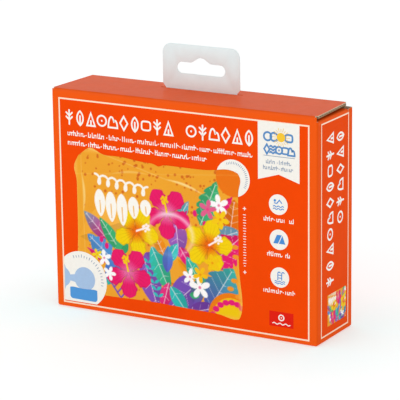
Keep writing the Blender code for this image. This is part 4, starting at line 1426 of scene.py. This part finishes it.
def build_plug(centre, plate, cap, reach, vinyl):
    """The plug's cap at height cap, its strap down to the root at reach, and the lip to lift it by."""
    tiny, rim = 0.02, cap / MM
    profile = [(tiny, rim - 2.2), (1.3, rim - 2.2), (1.7, rim - 1.9), (2.1, rim - 0.8), (2.3, rim - 0.4)]
    profile += [(2.3, rim), (4.6, rim), (4.8, rim + 0.2), (4.8, rim + 0.7), (4.5, rim + 1.0)]
    profile += [(3.4, rim + 1.0), (3.0, rim + 0.8), (tiny, rim + 0.8)]
    bm = bmesh.new()
    turned(bm, profile, centre)
    node = ("valve_plug",)
    add_mesh("valve_plug_cap", bm, vinyl, "valve_plug", smooth=35, nodes=node)
    path = [(cap + 0.0003, 0.0042), (cap + 0.0003, reach - 0.0008), (cap + 0.0001, reach - 0.0002)]
    path = [(centre.y + y, centre.z + z) for y, z in path + [(cap - 0.0005, reach), (0.0029, reach)]]
    bm = ribbon(path, -0.0006, centre.x - 0.0018, centre.x + 0.0018)
    add_mesh("valve_plug_strap", bm, vinyl, "valve_plug")
    bm = bmesh.new()
    outline = [(-0.002, -0.0042), (0.002, -0.0042)] + arc((0, -0.0047), 0.0015, -10, -170, 10)
    prism(bm, outline, plate, cap + 0.0002, cap + 0.0007)
    add_mesh("valve_plug_lip", bm, vinyl, "valve_plug")


def build_leaflet():
    """Three thin layers joined by folds."""
    low, high = (Vector(v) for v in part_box("instruction_leaflet"))
    paper = kraft("leaflet_paper", (232, 230, 224), (244, 243, 238), 1200)
    layers, thick = 3, 0.00016
    bottom, top = low.z + 0.0006, high.z - 0.0006
    pitch = (high.y - low.y - thick) / (layers - 1)
    path = []
    for i in range(layers):
        y = low.y + thick / 2 + pitch * i
        edge, sign = (top, 1) if i % 2 == 0 else (bottom, -1)
        path += [(y, bottom + top - edge), (y, edge)]
        if i < layers - 1:
            r = pitch / 2
            for t in np.linspace(0, math.pi, 6)[1:-1]:
                path.append((y + r - r * math.cos(t), edge + sign * math.sin(t) * r))
    bm = ribbon(path, thick, low.x, high.x)
    add_mesh("leaflet", bm, paper, "pillow_pack", nodes=("instruction_leaflet",))


def build_patch():
    low, high = (Vector(v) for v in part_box("repair_patch"))
    half, r = (high.x - low.x) / 2, 0.004
    inset = half - r
    outline = []
    for i, corner in enumerate(((inset, inset), (-inset, inset), (-inset, -inset), (inset, -inset))):
        outline += arc(corner, r, 90 * i, 90 * i + 90)
    bm = bmesh.new()
    face = Face(((low.x + high.x) / 2, low.y, (low.z + high.z) / 2), (1, 0, 0), (0, 0, 1), (0, 1, 0))
    prism(bm, outline, face, 0, high.y - low.y)
    patch = plastic("patch_vinyl", (244, 160, 70), 0.35)
    add_mesh("patch", bm, patch, "pillow_pack", nodes=("repair_patch",))


# ---- Stage ----


SHADOW_REACH = 0.07
FLOOR_GLOW, OVERHEAD, SURROUND, KEY_LIGHT = 0.47, 0.62, 1.0, 6.0


def build_stage():
    """A white light table with painted shade beside the carton, a white surround that is dimmer overhead,
    and a soft light from the front left.
    """
    half, drop = 6.0, 0.00005
    bm = bmesh.new()
    ground = Face((0, 0, -drop), (1, 0, 0), (0, 1, 0), (0, 0, -1))
    prism(bm, rectangle(-half, half, -half, half), ground, 0, 0.01)
    table = link("table", closed_mesh("table", bm))
    m = material("white_table")
    # Painted shade: the table is cooler, with less red, beside the carton, so that the light the orange print
    # throws there reads as a neutral shadow.
    place = m.add("ShaderNodeSeparateXYZ", Vector=m.place).outputs
    gaps = []
    for axis, edge in (("X", SIDE), ("Y", REAR)):
        beyond = m.math("SUBTRACT", m.math("ABSOLUTE", place[axis]), edge)
        gaps.append(m.math("POWER", m.math("MAXIMUM", beyond, 0.0), 2.0))
    apart = m.math("POWER", m.math("ADD", *gaps), 0.5)
    tone_with_painted_shade = m.ramp(m.math("DIVIDE", apart, SHADOW_REACH), (0.54, 0.86, 0.86), (0.71, 0.87, 0.87))
    m.set(Base_Color=m.mix(m.math("MULTIPLY", m.noise(3, 2), 0.02), tone_with_painted_shade, (0.9, 0.9, 0.9)))
    m.set(Roughness=0.9, Specular_IOR_Level=0.0, Emission_Color=(1, 0.80, 0.80), Emission_Strength=FLOOR_GLOW)
    table.data.materials.append(m.data)

    world = bpy.data.worlds.new("studio")
    bpy.context.scene.world = world
    sky = Nodes(world, "Background")
    height = sky.add("ShaderNodeSeparateXYZ", Vector=sky.places["Generated"]).outputs["Z"]
    sky.set(Color=sky.ramp(height, (1, 1, 1), (OVERHEAD,) * 3, 0.30, 0.85), Strength=SURROUND)

    light = bpy.data.lights.new("front_light", "AREA")
    light.shape, light.size, light.size_y, light.energy = "RECTANGLE", 1.6, 1.2, KEY_LIGHT
    lamp = link("front_light", light)
    lamp.location = (-1.1, -2.2, 0.9)
    lamp.rotation_euler = (Vector((0, 0, 0.06)) - lamp.location).to_track_quat("-Z", "Y").to_euler()


def build_camera():
    azimuth, elevation, roll = (math.radians(v) for v in (29.80, 14.83, -0.711))
    aim, distance = Vector((-0.0006, 0, HEIGHT * 0.526)), 1.323
    right = Vector((math.cos(azimuth), math.sin(azimuth), 0))
    level = Vector((math.sin(azimuth), -math.cos(azimuth), 0))
    back = level * math.cos(elevation) + Vector((0, 0, math.sin(elevation)))
    up = back.cross(right)
    across = right * math.cos(roll) + up * math.sin(roll)
    upward = up * math.cos(roll) - right * math.sin(roll)
    data = bpy.data.cameras.new("camera")
    data.lens, data.sensor_width = 209.3, 36
    data.clip_start, data.clip_end = 0.01, 50
    camera = link("camera", data)
    place = aim + back * distance
    matrix = camera.matrix_world.copy()
    for row in range(3):
        for column, axis in enumerate((across, upward, back)):
            matrix[row][column] = axis[row]
        matrix[row][3] = place[row]
    camera.matrix_world = matrix
    bpy.context.scene.camera = camera


def main():
    build_carton()
    print_front()
    print_picture()
    print_sides()
    for face in ("right", "left"):
        print_thumbnail(face, -9, 14, 8, 26)
    print_back()
    build_tab()
    build_pillow()
    build_valve()
    build_leaflet()
    build_patch()
    build_stage()
    build_camera()
    bpy.context.scene.view_settings.view_transform = "Standard"


main()
